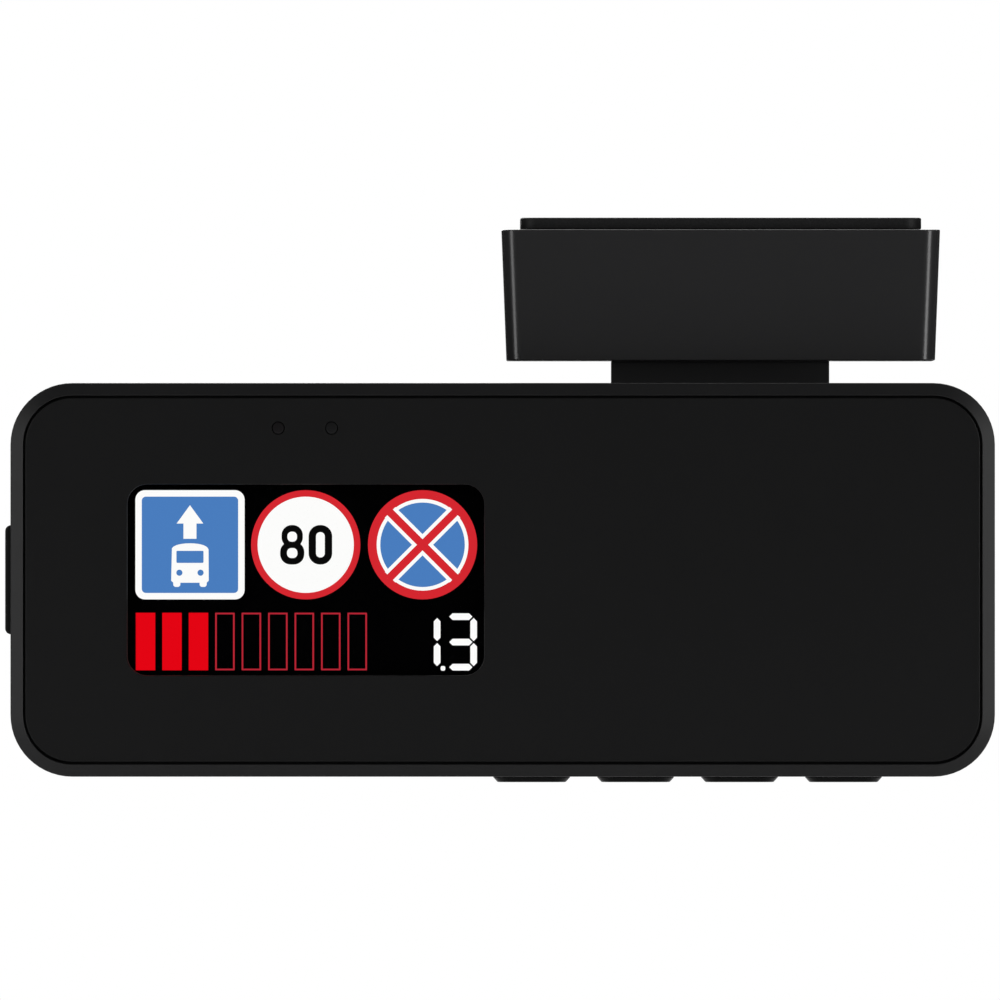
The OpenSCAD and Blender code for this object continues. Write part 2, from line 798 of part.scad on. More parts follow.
module panel_tape() {
    color([0.2, 0.2, 0.2]) difference() {
        unit_slab(rim_w + rim_gap, panel_back, panel_back + tape_t);
        unit_slab(rim_w + shelf_w, panel_back - cut, panel_back + tape_t + cut);
    }
}

module display_lens() {
    color([0.02, 0.02, 0.02]) {
        slab(window_x, unit_mid, window_w, window_h, window_r, panel_front + lens_recess, panel_back + weld);
        slab(window_x, unit_mid, window_w + 2 * lip_w, window_h + 2 * lip_w, window_r + lip_w,
            panel_back, panel_back + lip_t);
    }
}

module display_gasket() {
    color([0.05, 0.05, 0.05]) difference() {
        slab(window_x, unit_mid, window_w + 2 * gasket_w, window_h + 2 * gasket_w, window_r,
            panel_back + lip_t, glass_front);
        slab(window_x, unit_mid, window_w, window_h, window_r, panel_back, glass_back);
    }
}

module display_glass() {
    color([0.05, 0.05, 0.08])
        box([display_x0, glass_front, unit_mid - display_h / 2],
            [display_x1, glass_back, unit_mid + display_h / 2]);
}

module display_backlight() {
    color("white")
        box([display_x0, glass_back, unit_mid - display_h / 2],
            [display_x1 - backlight_short, backlight_back, unit_mid + display_h / 2]);
}

// A flat ribbon that turns from the glass round to its connector on the board.
module display_ribbon() {
    turn_r = (board_front - ribbon_plug_t - glass_front) / 2;
    color([0.8, 0.5, 0.1]) translate([0, 0, unit_mid - ribbon_w / 2]) linear_extrude(ribbon_w) {
        translate([display_x1, glass_front + turn_r]) difference() {
            circle(turn_r);
            circle(turn_r - ribbon_t);
            translate([-2 * turn_r, -turn_r - cut]) square([2 * turn_r, 2 * turn_r + 2 * cut]);
        }
        translate([display_x1 - ribbon_run, board_front - ribbon_plug_t - ribbon_t])
            square([ribbon_run + weld, ribbon_t]);
    }
}

// A light guide from its hole in the face panel to its chip on the board.
module light_guide(x) {
    z = unit_top - pilot_hole_drop;
    guide_r = pilot_hole_r - seat_gap / 2;
    chip_y = board_front - guide_chip_t;
    bar_y(x, z, guide_r, panel_front + lens_recess, panel_back + weld);
    bar_y(x, z, pilot_hole_r + guide_flange, panel_back, panel_back + guide_flange_t);
    bar_y(x, z, guide_r, panel_back + guide_flange_t - weld, chip_y);
    box([x - guide_chip / 2, chip_y, z - guide_chip / 2],
        [x + guide_chip / 2, board_front, z + guide_chip / 2]);
}

module light_sensor() {
    color([0.15, 0.05, 0.05]) light_guide(unit_left + sensor_from_left);
}

module status_light() {
    color([0.3, 0.3, 0.3]) light_guide(unit_left + status_from_left);
}

module main_board() {
    mid_x = (unit_left + unit_right) / 2;
    color([0.08, 0.25, 0.15]) difference() {
        upright(board_front, board_back) translate([mid_x, unit_mid]) difference() {
            square([board_w, board_h], center = true);
            for (x = [-1, 1])
                for (z = [-1, 1])
                    translate([x * board_w / 2, z * board_h / 2]) square(2 * corner_cut, center = true);
        }
        for (p = board_posts)
            bar_y(p[0], p[1], small_screw_r + seat_gap, board_front - cut, board_back + cut);
    }
}

module board_screws() {
    color("silver") for (p = board_posts)
        translate([p[0], board_front, p[1]]) rotate([90, 0, 0])
            screw(small_screw_r, board_screw_len, small_head_r, small_head_h);
}

// A box on the windscreen side of the board.
module on_board(x, z, w, h, t) {
    box([x - w / 2, board_back, z - h / 2], [x + w / 2, board_back + t, z + h / 2]);
}

// The same for a place in the list above.
module on_board_at(place) {
    on_board(unit_right - place[0], unit_mid + place[1], place[2], place[3], place[4]);
}

module processor_shield() {
    color("silver") on_board_at(shield_place);
}

module board_chips() {
    color([0.15, 0.15, 0.15]) for (place = chip_places) on_board_at(place);
}

module board_connectors() {
    color([0.85, 0.82, 0.7]) {
        on_board(cable_x, hinge_z, 5, connector_h, connector_t);
        on_board(speaker_x, unit_mid + speaker_plug_rise, 4, connector_h, connector_t);
        on_board(laser_x, laser_z, 6, connector_h, connector_t);
        box([display_x1 - ribbon_run, board_front - ribbon_plug_t, unit_mid - ribbon_w / 2 - 1],
            [display_x1 + 1, board_front, unit_mid + ribbon_w / 2 + 1]);
    }
}

module backup_cell() {
    color("silver")
        bar_y(unit_right - cell_from_right, unit_top - cell_from_top, cell_r,
            board_back, board_back + cell_t);
}

module button_switches() {
    color([0.2, 0.2, 0.2]) for (x = key_xs) {
        box([x - switch_w / 2, switch_y - switch_d / 2, switch_bottom],
            [x + switch_w / 2, switch_y + switch_d / 2, switch_bottom + switch_h]);
        translate([x, switch_y, plunger_bottom]) cylinder(r = plunger_r, h = plunger_h + weld);
    }
}

// A key that slides up in its hole, with chamfered edges below and a flange that keeps it in.
module button(x) {
    tip = unit_bottom - button_proud;
    top = key_floor + button_gap;
    color([0.06, 0.06, 0.06]) translate([x, key_y, 0]) {
        intersection() {
            translate([0, 0, tip]) linear_extrude(top - tip + weld)
                round_rect(button_w, button_d, button_d / 2 - weld);
            upright(-button_d, button_d)
                polygon([
                    [-button_w / 2 + key_chamfer, tip], [button_w / 2 - key_chamfer, tip],
                    [button_w / 2, tip + button_proud], [button_w / 2, top + 1],
                    [-button_w / 2, top + 1], [-button_w / 2, tip + button_proud]
                ]);
        }
        box([-button_w / 2 - flange_x, -button_d / 2, top],
            [button_w / 2 + flange_x, button_d / 2, top + flange_t]);
        translate([0, switch_y - key_y, top + flange_t / 2]) cylinder(r = nib_r, h = flange_t / 2 + nib_h);
    }
}

module menu_button() { button(key_xs[0]); }
module minus_button() { button(key_xs[1]); }
module plus_button() { button(key_xs[2]); }
module mute_button() { button(key_xs[3]); }

// ---- Radar, laser and sound ----

module radar_horn() {
    color([0.7, 0.7, 0.68]) difference() {
        union() {
            frustum(horn_x, horn_z, throat_w + 2 * horn_wall, throat_h + 2 * horn_wall, horn_throat_y,
                horn_w, horn_h, horn_mouth_y);
            box([horn_x - rf_w / 2, horn_throat_y, horn_z - rf_h / 2],
                [horn_x + rf_w / 2, horn_throat_y + throat_flange_t, horn_z + rf_h / 2]);
        }
        frustum(horn_x, horn_z, throat_w, throat_h, horn_throat_y + throat_flange_t,
            horn_w - 2 * horn_wall, horn_h - 2 * horn_wall, horn_mouth_y + weld);
        box([horn_x - throat_w / 2, horn_throat_y - cut, horn_z - throat_h / 2],
            [horn_x + throat_w / 2, horn_throat_y + throat_flange_t + 0.2, horn_z + throat_h / 2]);
    }
}

module horn_gasket() {
    color([0.1, 0.1, 0.1]) difference() {
        slab(horn_x, horn_z, horn_w, horn_h, 1, horn_mouth_y, inner_back);
        slab(horn_x, horn_z, horn_w - 2 * horn_rim_w, horn_h - 2 * horn_rim_w, 1, horn_mouth_y - cut,
            inner_back + cut);
    }
}

module rf_board() {
    color([0.1, 0.3, 0.2])
        box([horn_x - rf_w / 2, rf_board_y, horn_z - rf_h / 2],
            [horn_x + rf_w / 2, horn_throat_y, horn_z + rf_h / 2]);
}

module rf_shield() {
    color("silver")
        box([horn_x - rf_shield_w / 2, rf_board_y - rf_shield_t, horn_z - rf_shield_h / 2],
            [horn_x + rf_shield_w / 2, rf_board_y, horn_z + rf_shield_h / 2]);
}

// The pins that join the radar board to the main board.
module rf_header() {
    header_x = horn_x + rf_w / 2 - header_from_edge;
    color([0.1, 0.1, 0.1])
        box([header_x - header_w, board_back, horn_z - header_h / 2],
            [header_x, rf_board_y, horn_z + header_h / 2]);
}

module laser_lens() {
    dome_r = (pow(laser_r, 2) + pow(laser_dome, 2)) / (2 * laser_dome);
    color([0.15, 0.02, 0.02]) translate([laser_x, 0, laser_z]) intersection() {
        union() {
            bar_y(0, 0, laser_r, inner_back - weld, unit_back);
            bar_y(0, 0, laser_r + laser_lip - seat_gap, inner_back - laser_lip_t, inner_back);
        }
        translate([0, unit_back - dome_r, 0]) rotate([90, 0, 0]) sphere(dome_r, $fn = 96);
    }
}

module laser_sensor() {
    color([0.1, 0.3, 0.2]) translate([laser_x, laser_tube_y, laser_z]) {
        bar_y(0, 0, laser_r + laser_lip + laser_tube_t, -laser_board_t, 0);
        translate([-laser_chip[0] / 2, -weld, -laser_chip[2] / 2]) cube(laser_chip);
    }
}

// A row of wires along Y.
module wires(x, z, count, y0, y1) {
    for (i = [0:count - 1]) bar_y(x + (i - (count - 1) / 2) * wire_pitch, z, wire_r, y0, y1);
}

module laser_wires() {
    color([0.6, 0.1, 0.1])
        wires(laser_x, laser_z, 3, board_back + connector_t, laser_tube_y - laser_board_t);
}

module speaker() {
    color([0.2, 0.2, 0.22]) translate([speaker_x, speaker_front, speaker_z]) rotate([90, 0, 0])
        rotate_extrude() polygon([
            [0, cap_depth], [cap_r, cap_depth], [cap_r + 1, cone_depth], [cone_r, 0.5], [speaker_r, 0],
            [speaker_r, basket_t], [magnet_r, basket_t + 1], [magnet_r, speaker_t], [0, speaker_t]
        ]);
}

module speaker_gasket() {
    color([0.08, 0.08, 0.08]) difference() {
        bar_y(speaker_x, speaker_z, speaker_r, speaker_front, inner_back);
        bar_y(speaker_x, speaker_z, speaker_r - 1, speaker_front - cut, inner_back + cut);
    }
}

module speaker_wires() {
    color([0.7, 0.1, 0.1]) {
        wires(speaker_x, wire_high_z, 2, board_back + connector_t, wire_turn_y);
        for (i = [-0.5, 0.5]) translate([speaker_x + i * wire_pitch, wire_turn_y, wire_low_z]) {
            cylinder(r = wire_r * wire_waist, h = wire_high_z - wire_low_z);
            sphere(wire_r);
            translate([0, 0, wire_high_z - wire_low_z]) sphere(wire_r);
        }
        wires(speaker_x, wire_low_z, 2, wire_turn_y, speaker_front - speaker_t);
    }
}

// ---- Sockets ----

module power_socket() {
    top = unit_top - wall;
    color([0.09, 0.09, 0.09]) translate([socket_x, socket_y, 0]) {
        difference() {
            union() {
                box([-socket_w / 2, -socket_d / 2, top - socket_h], [socket_w / 2, socket_d / 2, top]);
                translate([0, 0, top - 1]) cylinder(r = snout_r, h = wall + 1);
            }
            translate([0, 0, unit_top - socket_depth]) cylinder(r = socket_bore_r, h = socket_depth + cut);
        }
        translate([0, 0, unit_top - socket_depth - pin_recess])
            cylinder(r = socket_pin_r, h = socket_depth - pin_recess);
    }
}

module service_socket() {
    x0 = unit_left + recess_d;
    color("silver") difference() {
        box([x0, port_y - port_d / 2, port_z - port_w / 2],
            [x0 + port_len, port_y + port_d / 2, port_z + port_w / 2]);
        difference() {
            box([x0 - cut, port_y - port_d / 2 + port_shell, port_z - port_w / 2 + port_shell],
                [x0 + port_len - port_back, port_y + port_d / 2 - port_shell,
                    port_z + port_w / 2 - port_shell]);
            box([x0 + tongue_recess, port_y - tongue_t / 2, port_z - tongue_w / 2],
                [x0 + port_len, port_y + tongue_t / 2, port_z + tongue_w / 2]);
        }
    }
}

// A rubber cover whose lower end is a half-round about the turning axis.
module port_cover() {
    color([0.04, 0.04, 0.04]) {
        translate([unit_left, port_y + cover_d / 2, cover_axis_z]) rotate([90, 0, 0])
            linear_extrude(cover_d) {
                circle(cover_proud);
                translate([-cover_proud, 0]) square([cover_t, cover_h - cover_t]);
                translate([0, cover_h - cover_t]) circle(cover_proud);
            }
        box([unit_left + cover_proud / 2, port_y - plug_d / 2, port_z - plug_w / 2],
            [unit_left + cover_proud + plug_len, port_y + plug_d / 2, port_z + plug_w / 2]);
    }
}

// The fixed end of the same rubber moulding, held by its plug in the side wall.
module port_cover_tail() {
    color([0.04, 0.04, 0.04]) {
        box([unit_left, port_y - cover_d / 2 + seat_gap, tail_bottom + seat_gap],
            [unit_left + recess_d, port_y + cover_d / 2 - seat_gap, tail_bottom + tail_h - 2 * seat_gap]);
        bar_x(port_y, tail_plug_z, tail_plug_r, unit_left + recess_d - weld, unit_left + wall);
        bar_x(port_y, tail_plug_z, tail_plug_r + tail_bead, unit_left + wall, unit_left + wall + tail_bead_t);
    }
}

adhesive_pad();
bracket_plate();
plate_screws();
bracket_housing();
gps_board();
gps_antenna();
gps_shield();
gps_board_screws();
bracket_neck();
neck_screws();
upper_cable();
hinge_pins();
hinge_washers();
lower_cable();
front_frame();
rear_housing();
housing_screws();
face_panel();
panel_tape();
display_lens();
display_gasket();
display_glass();
display_backlight();
display_ribbon();
light_sensor();
status_light();
main_board();
board_screws();
processor_shield();
board_chips();
board_connectors();
backup_cell();
button_switches();
menu_button();
minus_button();
plus_button();
mute_button();
radar_horn();
horn_gasket();
rf_board();
rf_shield();
rf_header();
laser_lens();
laser_sensor();
laser_wires();
speaker();
speaker_gasket();
speaker_wires();
power_socket();
service_socket();
port_cover();
port_cover_tail();
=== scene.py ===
"""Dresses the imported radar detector: finished meshes and procedural materials for every piece."""

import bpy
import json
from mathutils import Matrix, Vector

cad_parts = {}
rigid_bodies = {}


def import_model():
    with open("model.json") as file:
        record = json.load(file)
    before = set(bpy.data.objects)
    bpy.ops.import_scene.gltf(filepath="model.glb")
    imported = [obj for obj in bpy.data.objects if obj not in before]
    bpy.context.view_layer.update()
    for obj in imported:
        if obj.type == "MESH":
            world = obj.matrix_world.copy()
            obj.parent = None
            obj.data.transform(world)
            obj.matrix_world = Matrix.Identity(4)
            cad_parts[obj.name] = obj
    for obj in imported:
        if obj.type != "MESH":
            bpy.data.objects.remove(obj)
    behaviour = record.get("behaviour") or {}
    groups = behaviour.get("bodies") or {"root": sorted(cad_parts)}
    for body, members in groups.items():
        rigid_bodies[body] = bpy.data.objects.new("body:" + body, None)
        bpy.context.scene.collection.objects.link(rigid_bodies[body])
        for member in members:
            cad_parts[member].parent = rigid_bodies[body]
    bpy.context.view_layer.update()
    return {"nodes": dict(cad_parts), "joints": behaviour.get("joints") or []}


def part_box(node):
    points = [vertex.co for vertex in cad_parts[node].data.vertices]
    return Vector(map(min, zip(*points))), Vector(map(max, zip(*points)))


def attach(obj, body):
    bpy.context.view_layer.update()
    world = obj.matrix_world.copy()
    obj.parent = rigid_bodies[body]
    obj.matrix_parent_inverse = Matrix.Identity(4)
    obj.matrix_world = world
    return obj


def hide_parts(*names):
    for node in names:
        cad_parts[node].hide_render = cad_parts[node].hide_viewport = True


bl_info = {
    "name": "Radar Detector Dressing",
    "version": (1, 0, 0),
    "blender": (4, 5, 0),
    "location": "3D View > Sidebar > Detector",
    "description": "Builds the finished surfaces, display picture and stage of a windscreen radar detector",
    "category": "Object",
}

import json
import math

import bmesh
import bpy
from mathutils import Matrix, Vector
from mathutils.bvhtree import BVHTree

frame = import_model()

MM = 0.001  # the meshes are drawn in millimetres and stored in metres
UNIT = "main_unit"
MOUNT = "mount"
KEYS = {f"{name}_button": f"{name}_key" for name in ("menu", "minus", "plus", "mute")}  # node: body


class Span:
    """A CAD node's box at rest, in millimetres."""

    def __init__(self, node):
        low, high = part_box(node)
        self.low = low / MM
        self.high = high / MM
        self.mid = (self.low + self.high) / 2
        self.size = self.high - self.low


FRONT = Span("front_frame")
REAR = Span("rear_housing")
PANEL = Span("face_panel")
LENS = Span("display_lens")
GLASS = Span("display_glass")
BLOCK = Span("bracket_housing")
PAD = Span("adhesive_pad")
PLATE = Span("bracket_plate")
NECK = Span("bracket_neck")
COVER = Span("port_cover")
TAIL = Span("port_cover_tail")
SOCKET = Span("power_socket")
PORT = Span("service_socket")
LASER = Span("laser_lens")
SPEAKER = Span("speaker")
SCREWS = Span("housing_screws")
SENSOR = Span("light_sensor")
STATUS = Span("status_light")
PINS = Span("hinge_pins")
HINGE = next(j for j in frame["joints"] if j["name"] == "bracket_tilt")
AXIS_Z = HINGE["pos_m"][2] / MM

LIP = 1.4  # how far the display window's flange reaches under the face panel
PIN_BORE = 1.55  # radius of the hinge barrel's bore
PIN_REACH = 6  # how far each hinge pin goes past the side of the pocket
SCREW_HEAD = 1.9  # radius and height of a housing screw's head
SCREW_HEIGHT = 1.4
KEY_FLANGE = 0.9  # how far a key's flange stands out past each end of its cap
PAST = 1  # how far a cutter goes past the wall that it opens
SHARPEST = 0.05  # smallest corner that an inset leaves
WIDE_ROW = 1.0  # chord radius, in metres, that leaves a short row as wide as it is


# ---- Settings ----


def length(label, text, default):
    """A length property whose number is in millimetres."""
    return bpy.props.FloatProperty(
        name=label, description=f"{text}, in millimetres", default=default, min=0.0, unit="LENGTH"
    )


def tint(label, text, default):
    """A colour property."""
    return bpy.props.FloatVectorProperty(
        name=label, description=text, default=default, min=0.0, max=1.0, size=3, subtype="COLOR"
    )


class DetectorSizes(bpy.types.PropertyGroup):
    """Edges, walls and corners. Overall sizes and places come from the frame."""

    corner: length("Outline corner", "Radius of the main unit's outline corners", 7.4)
    back_edge: length("Back edge", "Radius of the windscreen-side edges", 3.0)
    rim: length("Rim", "Width of the raised rim round the face", 1.5)
    rim_slope: length("Rim slope", "How far the rim falls back from its inner to its outer edge", 0.5)
    shelf: length("Shelf", "Width of the shelf under the face panel's edge", 2.6)
    wall: length("Wall", "Wall of the main unit's housing", 2.0)
    window_corner: length("Window corner", "Radius of the display window's corners", 2.3)
    bracket_corner: length("Bracket corner", "Radius of the bracket's upright corners", 2.0)
    soft_edge: length("Soft edge", "Radius of the small moulded edges", 0.3)
    key_dome: length("Key edge", "How far a key's bevelled edge reaches in from its side", 0.5)


class DetectorColours(bpy.types.PropertyGroup):
    """Base colours, which the materials make a little lighter and darker; the neck's copy of the housing
    black is made five times lighter as painted light.
    """

    housing: tint("Housing", "Moulded black of the housing and the bracket", (0.0165, 0.0165, 0.017))
    face: tint("Face", "Satin black of the face panel", (0.0085, 0.0085, 0.0088))
    keys: tint("Keys", "Black of the keys", (0.004, 0.004, 0.0042))
    rubber: tint("Rubber", "Black of the soft side cover", (0.006, 0.006, 0.006))
    foam: tint("Foam", "Black of the adhesive pad", (0.012, 0.012, 0.0125))
    sign_blue: tint("Sign blue", "Blue of the road signs on the display", (0.069, 0.209, 0.527))
    sign_red: tint("Sign red", "Red of the road signs on the display", (0.672, 0.021, 0.03))
    bar_red: tint("Bar red", "Red of the lit signal bars", (0.79, 0.0015, 0.007))
    bar_outline: tint("Bar outline", "Red of the unlit signal bars", (0.46, 0.02, 0.035))


class DetectorStage(bpy.types.PropertyGroup):
    """Where the camera stands and how low the floor is."""

    frame_width: length("Frame width", "Width that the camera takes in at the face", 119.85)
    view_distance: length("View distance", "Distance of the camera from the face", 4800.0)
    aim_right: bpy.props.FloatProperty(
        name="Aim across", description="Aim right of the unit's middle, in millimetres", default=-0.32
    )
    aim_up: bpy.props.FloatProperty(
        name="Aim up", description="Aim above the unit's middle, in millimetres", default=9.57
    )
    floor_drop: length("Floor drop", "Distance of the floor below the unit", 40.0)


def sizes():
    return bpy.context.scene.detector_sizes


def colours():
    return bpy.context.scene.detector_colours


# ---- Outlines and meshes, in millimetres ----


def round_outline(width, height, radius, steps=8, centre=(0.0, 0.0)):
    """A counter-clockwise rectangle with round corners."""
    radius = min(radius, width / 2 - 1e-4, height / 2 - 1e-4)
    points = []
    for i, (sx, sy) in enumerate(((1, -1), (1, 1), (-1, 1), (-1, -1))):
        cx = centre[0] + sx * (width / 2 - radius)
        cy = centre[1] + sy * (height / 2 - radius)
        for k in range(steps + 1):
            turn = math.radians(-90 + 90 * i + 90 * k / steps)
            points.append((cx + radius * math.cos(turn), cy + radius * math.sin(turn)))
    return points


def circle_outline(radius, centre=(0.0, 0.0), steps=48):
    """A counter-clockwise circle."""
    turns = [math.tau * k / steps for k in range(steps)]
    return [(centre[0] + radius * math.cos(turn), centre[1] + radius * math.sin(turn)) for turn in turns]


def box_outline(u0, v0, u1, v1):
    """A rectangle with sharp corners, from two opposite ones."""
    return [(u0, v0), (u1, v0), (u1, v1), (u0, v1)]


def place(point, along, depth):
    """A flat point carried to `depth` along one axis."""
    u, v = point
    return {"x": Vector((depth, u, v)), "y": Vector((u, depth, v)), "z": Vector((u, v, depth))}[along]


def outward(bm):
    """Merges a closed solid's doubled points and turns its faces outwards."""
    bmesh.ops.remove_doubles(bm, verts=bm.verts, dist=0.0002)
    bmesh.ops.recalc_face_normals(bm, faces=bm.faces)
    if bm.calc_volume(signed=True) < 0:
        bmesh.ops.reverse_faces(bm, faces=bm.faces)
    return bm


def loft(rings, ring_closed=False):
    """Skins rings of equal length into a closed solid. A closed ring of rings has no caps."""
    bm = bmesh.new()
    loops = [[bm.verts.new(p) for p in ring] for ring in rings]
    count = len(loops[0])
    pairs = list(zip(loops, loops[1:]))
    if ring_closed:
        pairs.append((loops[-1], loops[0]))
    for a, b in pairs:
        for k in range(count):
            bm.faces.new((a[k], a[(k + 1) % count], b[(k + 1) % count], b[k]))
    if not ring_closed:
        bm.faces.new(loops[0])
        bm.faces.new(loops[-1])
    return outward(bm)


def prism(outline, along, start, end):
    """A straight extrusion of an outline."""
    return loft([[place(p, along, d) for p in outline] for d in (start, end)])


def quarter(x0, y0, x1, y1, steps=5, depth_first=False):
    """Inner points of a quarter ellipse between two (inset, depth) points, bulging outwards."""
    points = []
    for k in range(1, steps):
        turn = math.pi / 2 * k / steps
        quick, slow = math.sin(turn), 1 - math.cos(turn)
        across, deep = (slow, quick) if depth_first else (quick, slow)
        points.append((x0 + (x1 - x0) * across, y0 + (y1 - y0) * deep))
    return points


def soft_ends(start, end, edge, ends=(True, True)):
    """The (inset, depth) profile of a straight wall whose ends are rounded."""
    first, last = [(0, start)], [(0, end)]
    if ends[0]:
        first = [(edge, start)] + quarter(edge, start, 0, start + edge) + [(0, start + edge)]
    if ends[1]:
        last = [(0, end - edge)] + quarter(0, end - edge, edge, end, depth_first=True) + [(edge, end)]
    return first + last


def inset_rings(width, height, radius, along, profile, centre=(0.0, 0.0), steps=8):
    """Rings of a round rectangle, drawn in by each (inset, depth) of a profile."""
    rings = []
    for inset, depth in profile:
        corner = max(radius - inset, SHARPEST)
        outline = round_outline(width - 2 * inset, height - 2 * inset, corner, steps, centre)
        rings.append([place(p, along, depth) for p in outline])
    return rings


def soft_prism(width, height, radius, along, start, end, edge, centre=(0.0, 0.0), steps=8, ends=(True, True)):
    """An upright round rectangle whose end edges are rounded."""
    return loft(inset_rings(width, height, radius, along, soft_ends(start, end, edge, ends), centre, steps))


def lathe(profile, centre, along, steps=48):
    """Turns a (radius, depth) profile about an axis. One that starts on the axis ends on it too."""
    bm = bmesh.new()
    loops = []
    for radius, depth in profile:
        points = circle_outline(radius, centre, steps) if radius > 0 else [centre]
        loops.append([bm.verts.new(place(p, along, depth)) for p in points])
    pairs = list(zip(loops, loops[1:]))
    if profile[0][0] > 0:
        pairs.append((loops[-1], loops[0]))
    for a, b in pairs:
        for k in range(steps):
            j = (k + 1) % steps
            corners = [a[0]] if len(a) == 1 else [a[k], a[j]]
            corners += [b[0]] if len(b) == 1 else [b[j], b[k]]
            bm.faces.new(corners)
    return outward(bm)


def to_object(name, bm, smooth_angle=30.0, scale=MM):
    """A finished mesh object from a bmesh in millimetres, smooth except at its sharp edges."""
    mesh = bpy.data.meshes.new(name)
    bmesh.ops.scale(bm, vec=(scale, scale, scale), verts=bm.verts)
    bm.to_mesh(mesh)
    bm.free()
    mesh.shade_smooth()
    mesh.set_sharp_from_angle(angle=math.radians(smooth_angle))
    obj = bpy.data.objects.new(name, mesh)
    bpy.context.scene.collection.objects.link(obj)
    return obj


def joined(parts):
    """One bmesh from several, which are freed."""
    whole = bmesh.new()
    for part in parts:
        mesh = bpy.data.meshes.new("part")
        part.to_mesh(mesh)
        part.free()
        whole.from_mesh(mesh)
        bpy.data.meshes.remove(mesh)
    return whole


def merged(name, parts):
    """One object from several bmeshes."""
    return to_object(name, joined(parts))


def applied(obj):
    """Turns the evaluated object into a plain mesh and drops its modifiers."""
    bpy.context.view_layer.update()
    graph = bpy.context.evaluated_depsgraph_get()
    mesh = bpy.data.meshes.new_from_object(obj.evaluated_get(graph), depsgraph=graph)
    old = obj.data
    obj.modifiers.clear()
    obj.data = mesh
    mesh.name = obj.name
    bpy.data.meshes.remove(old)
    return obj


def combine(obj, other, operation):
    """Adds another solid to obj or cuts it out, and removes the other."""
    modifier = obj.modifiers.new(operation, "BOOLEAN")
    modifier.operation = operation
    modifier.solver = "EXACT"
    modifier.use_self = operation == "DIFFERENCE"
    modifier.object = other
    applied(obj)
    bpy.data.objects.remove(other, do_unlink=True)
    return obj


def add(obj, bm):
    return combine(obj, to_object("addition", bm), "UNION")


def cut(obj, bms):
    return combine(obj, merged("cutter", bms), "DIFFERENCE")


def skin_tree(obj):
    """A search tree of obj's surface as it stands."""
    corners = [v.co for v in obj.data.vertices]
    faces = [tuple(p.vertices) for p in obj.data.polygons]
    return BVHTree.FromPolygons(corners, faces)


def soften(obj, skin, width, segments=2, angle=35.0):
    """Rounds the sharp edges that a cut left on the surface `skin`."""
    near = 0.02 * MM
    doubled = 0.002 * MM
    bm = bmesh.new()
    bm.from_mesh(obj.data)
    bmesh.ops.remove_doubles(bm, verts=bm.verts, dist=doubled)
    bmesh.ops.dissolve_degenerate(bm, edges=bm.edges, dist=doubled)
    bmesh.ops.delete(bm, geom=[e for e in bm.edges if e.is_wire], context="EDGES")
    weight = bm.edges.layers.float.new("bevel_weight_edge")
    on_skin = {v: (skin.find_nearest(v.co)[3] or 0.0) < near for v in bm.verts}
    for edge in bm.edges:
        if len(edge.link_faces) == 2 and edge.calc_face_angle() > math.radians(angle):
            edge[weight] = 1.0 if all(on_skin[v] for v in edge.verts) else 0.0
    bm.to_mesh(obj.data)
    bm.free()
    modifier = obj.modifiers.new("soft edges", "BEVEL")
    modifier.limit_method = "WEIGHT"
    modifier.width = width * MM
    modifier.segments = segments
    applied(obj)
    obj.data.shade_smooth()
    obj.data.set_sharp_from_angle(angle=math.radians(30))
    return obj


def finish(obj, material, body, slot, *nodes):
    """Gives a piece its normals, material and body, and lets it stand for CAD nodes. The slot is not used."""
    level = obj.modifiers.new("level flats", "WEIGHTED_NORMAL")
    level.weight = 100
    level.keep_sharp = True
    applied(obj)
    if not obj.data.materials:
        obj.data.materials.append(material)
    obj.data.materials[0] = material
    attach(obj, body)
    if nodes:
        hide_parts(*nodes)
    return obj


# ---- Geometry Nodes: what repeats ----


class Tree:
    """Builds a Geometry Nodes tree with named inputs."""

    def __init__(self, name, inputs):
        self.group = bpy.data.node_groups.new(name, "GeometryNodeTree")
        self.group.interface.new_socket("Geometry", in_out="OUTPUT", socket_type="NodeSocketGeometry")
        self.ids = {}
        for label, kind in inputs.items():
            item = self.group.interface.new_socket(label, in_out="INPUT", socket_type=kind)
            self.ids[label] = item.identifier
        self.start = self.group.nodes.new("NodeGroupInput")
        self.end = self.group.nodes.new("NodeGroupOutput")

    def __getitem__(self, label):
        return self.start.outputs[label]

    def feed(self, value, socket):
        """Links a socket or sets a constant."""
        if isinstance(value, bpy.types.NodeSocket):
            self.group.links.new(value, socket)
        else:
            socket.default_value = value

    def node(self, kind, settings=None, output=0, **sockets):
        """Adds a node; sockets are given by name, with _ for a space."""
        made = self.group.nodes.new(kind)
        for key, value in (settings or {}).items():
            setattr(made, key, value)
        for key, value in sockets.items():
            self.feed(value, next(s for s in made.inputs if s.enabled and s.name.replace(" ", "_") == key))
        return made.outputs[output]

    def maths(self, operation, *values):
        """Adds a Math node whose inputs are given in order."""
        made = self.group.nodes.new("ShaderNodeMath")
        made.operation = operation
        for socket, value in zip(made.inputs, values):
            self.feed(value, socket)
        return made.outputs[0]

    def item(self):
        """The mesh of the object that the tree repeats."""
        return self.node(
            "GeometryNodeObjectInfo", {"transform_space": "ORIGINAL"}, output="Geometry", Object=self["Item"]
        )

    def close(self, geometry):
        """Ends the tree with plain geometry in its material."""
        real = self.node("GeometryNodeRealizeInstances", Geometry=geometry)
        painted = self.node("GeometryNodeSetMaterial", Geometry=real, Material=self["Material"])
        self.group.links.new(painted, self.end.inputs[0])


def grown(name, tree, values):
    """The plain mesh that a tree makes with these inputs."""
    obj = bpy.data.objects.new(name, bpy.data.meshes.new(name))
    bpy.context.scene.collection.objects.link(obj)
    modifier = obj.modifiers.new("nodes", "NODES")
    modifier.node_group = tree.group
    for label, value in values.items():
        modifier[tree.ids[label]] = value
    applied(obj)
    return obj


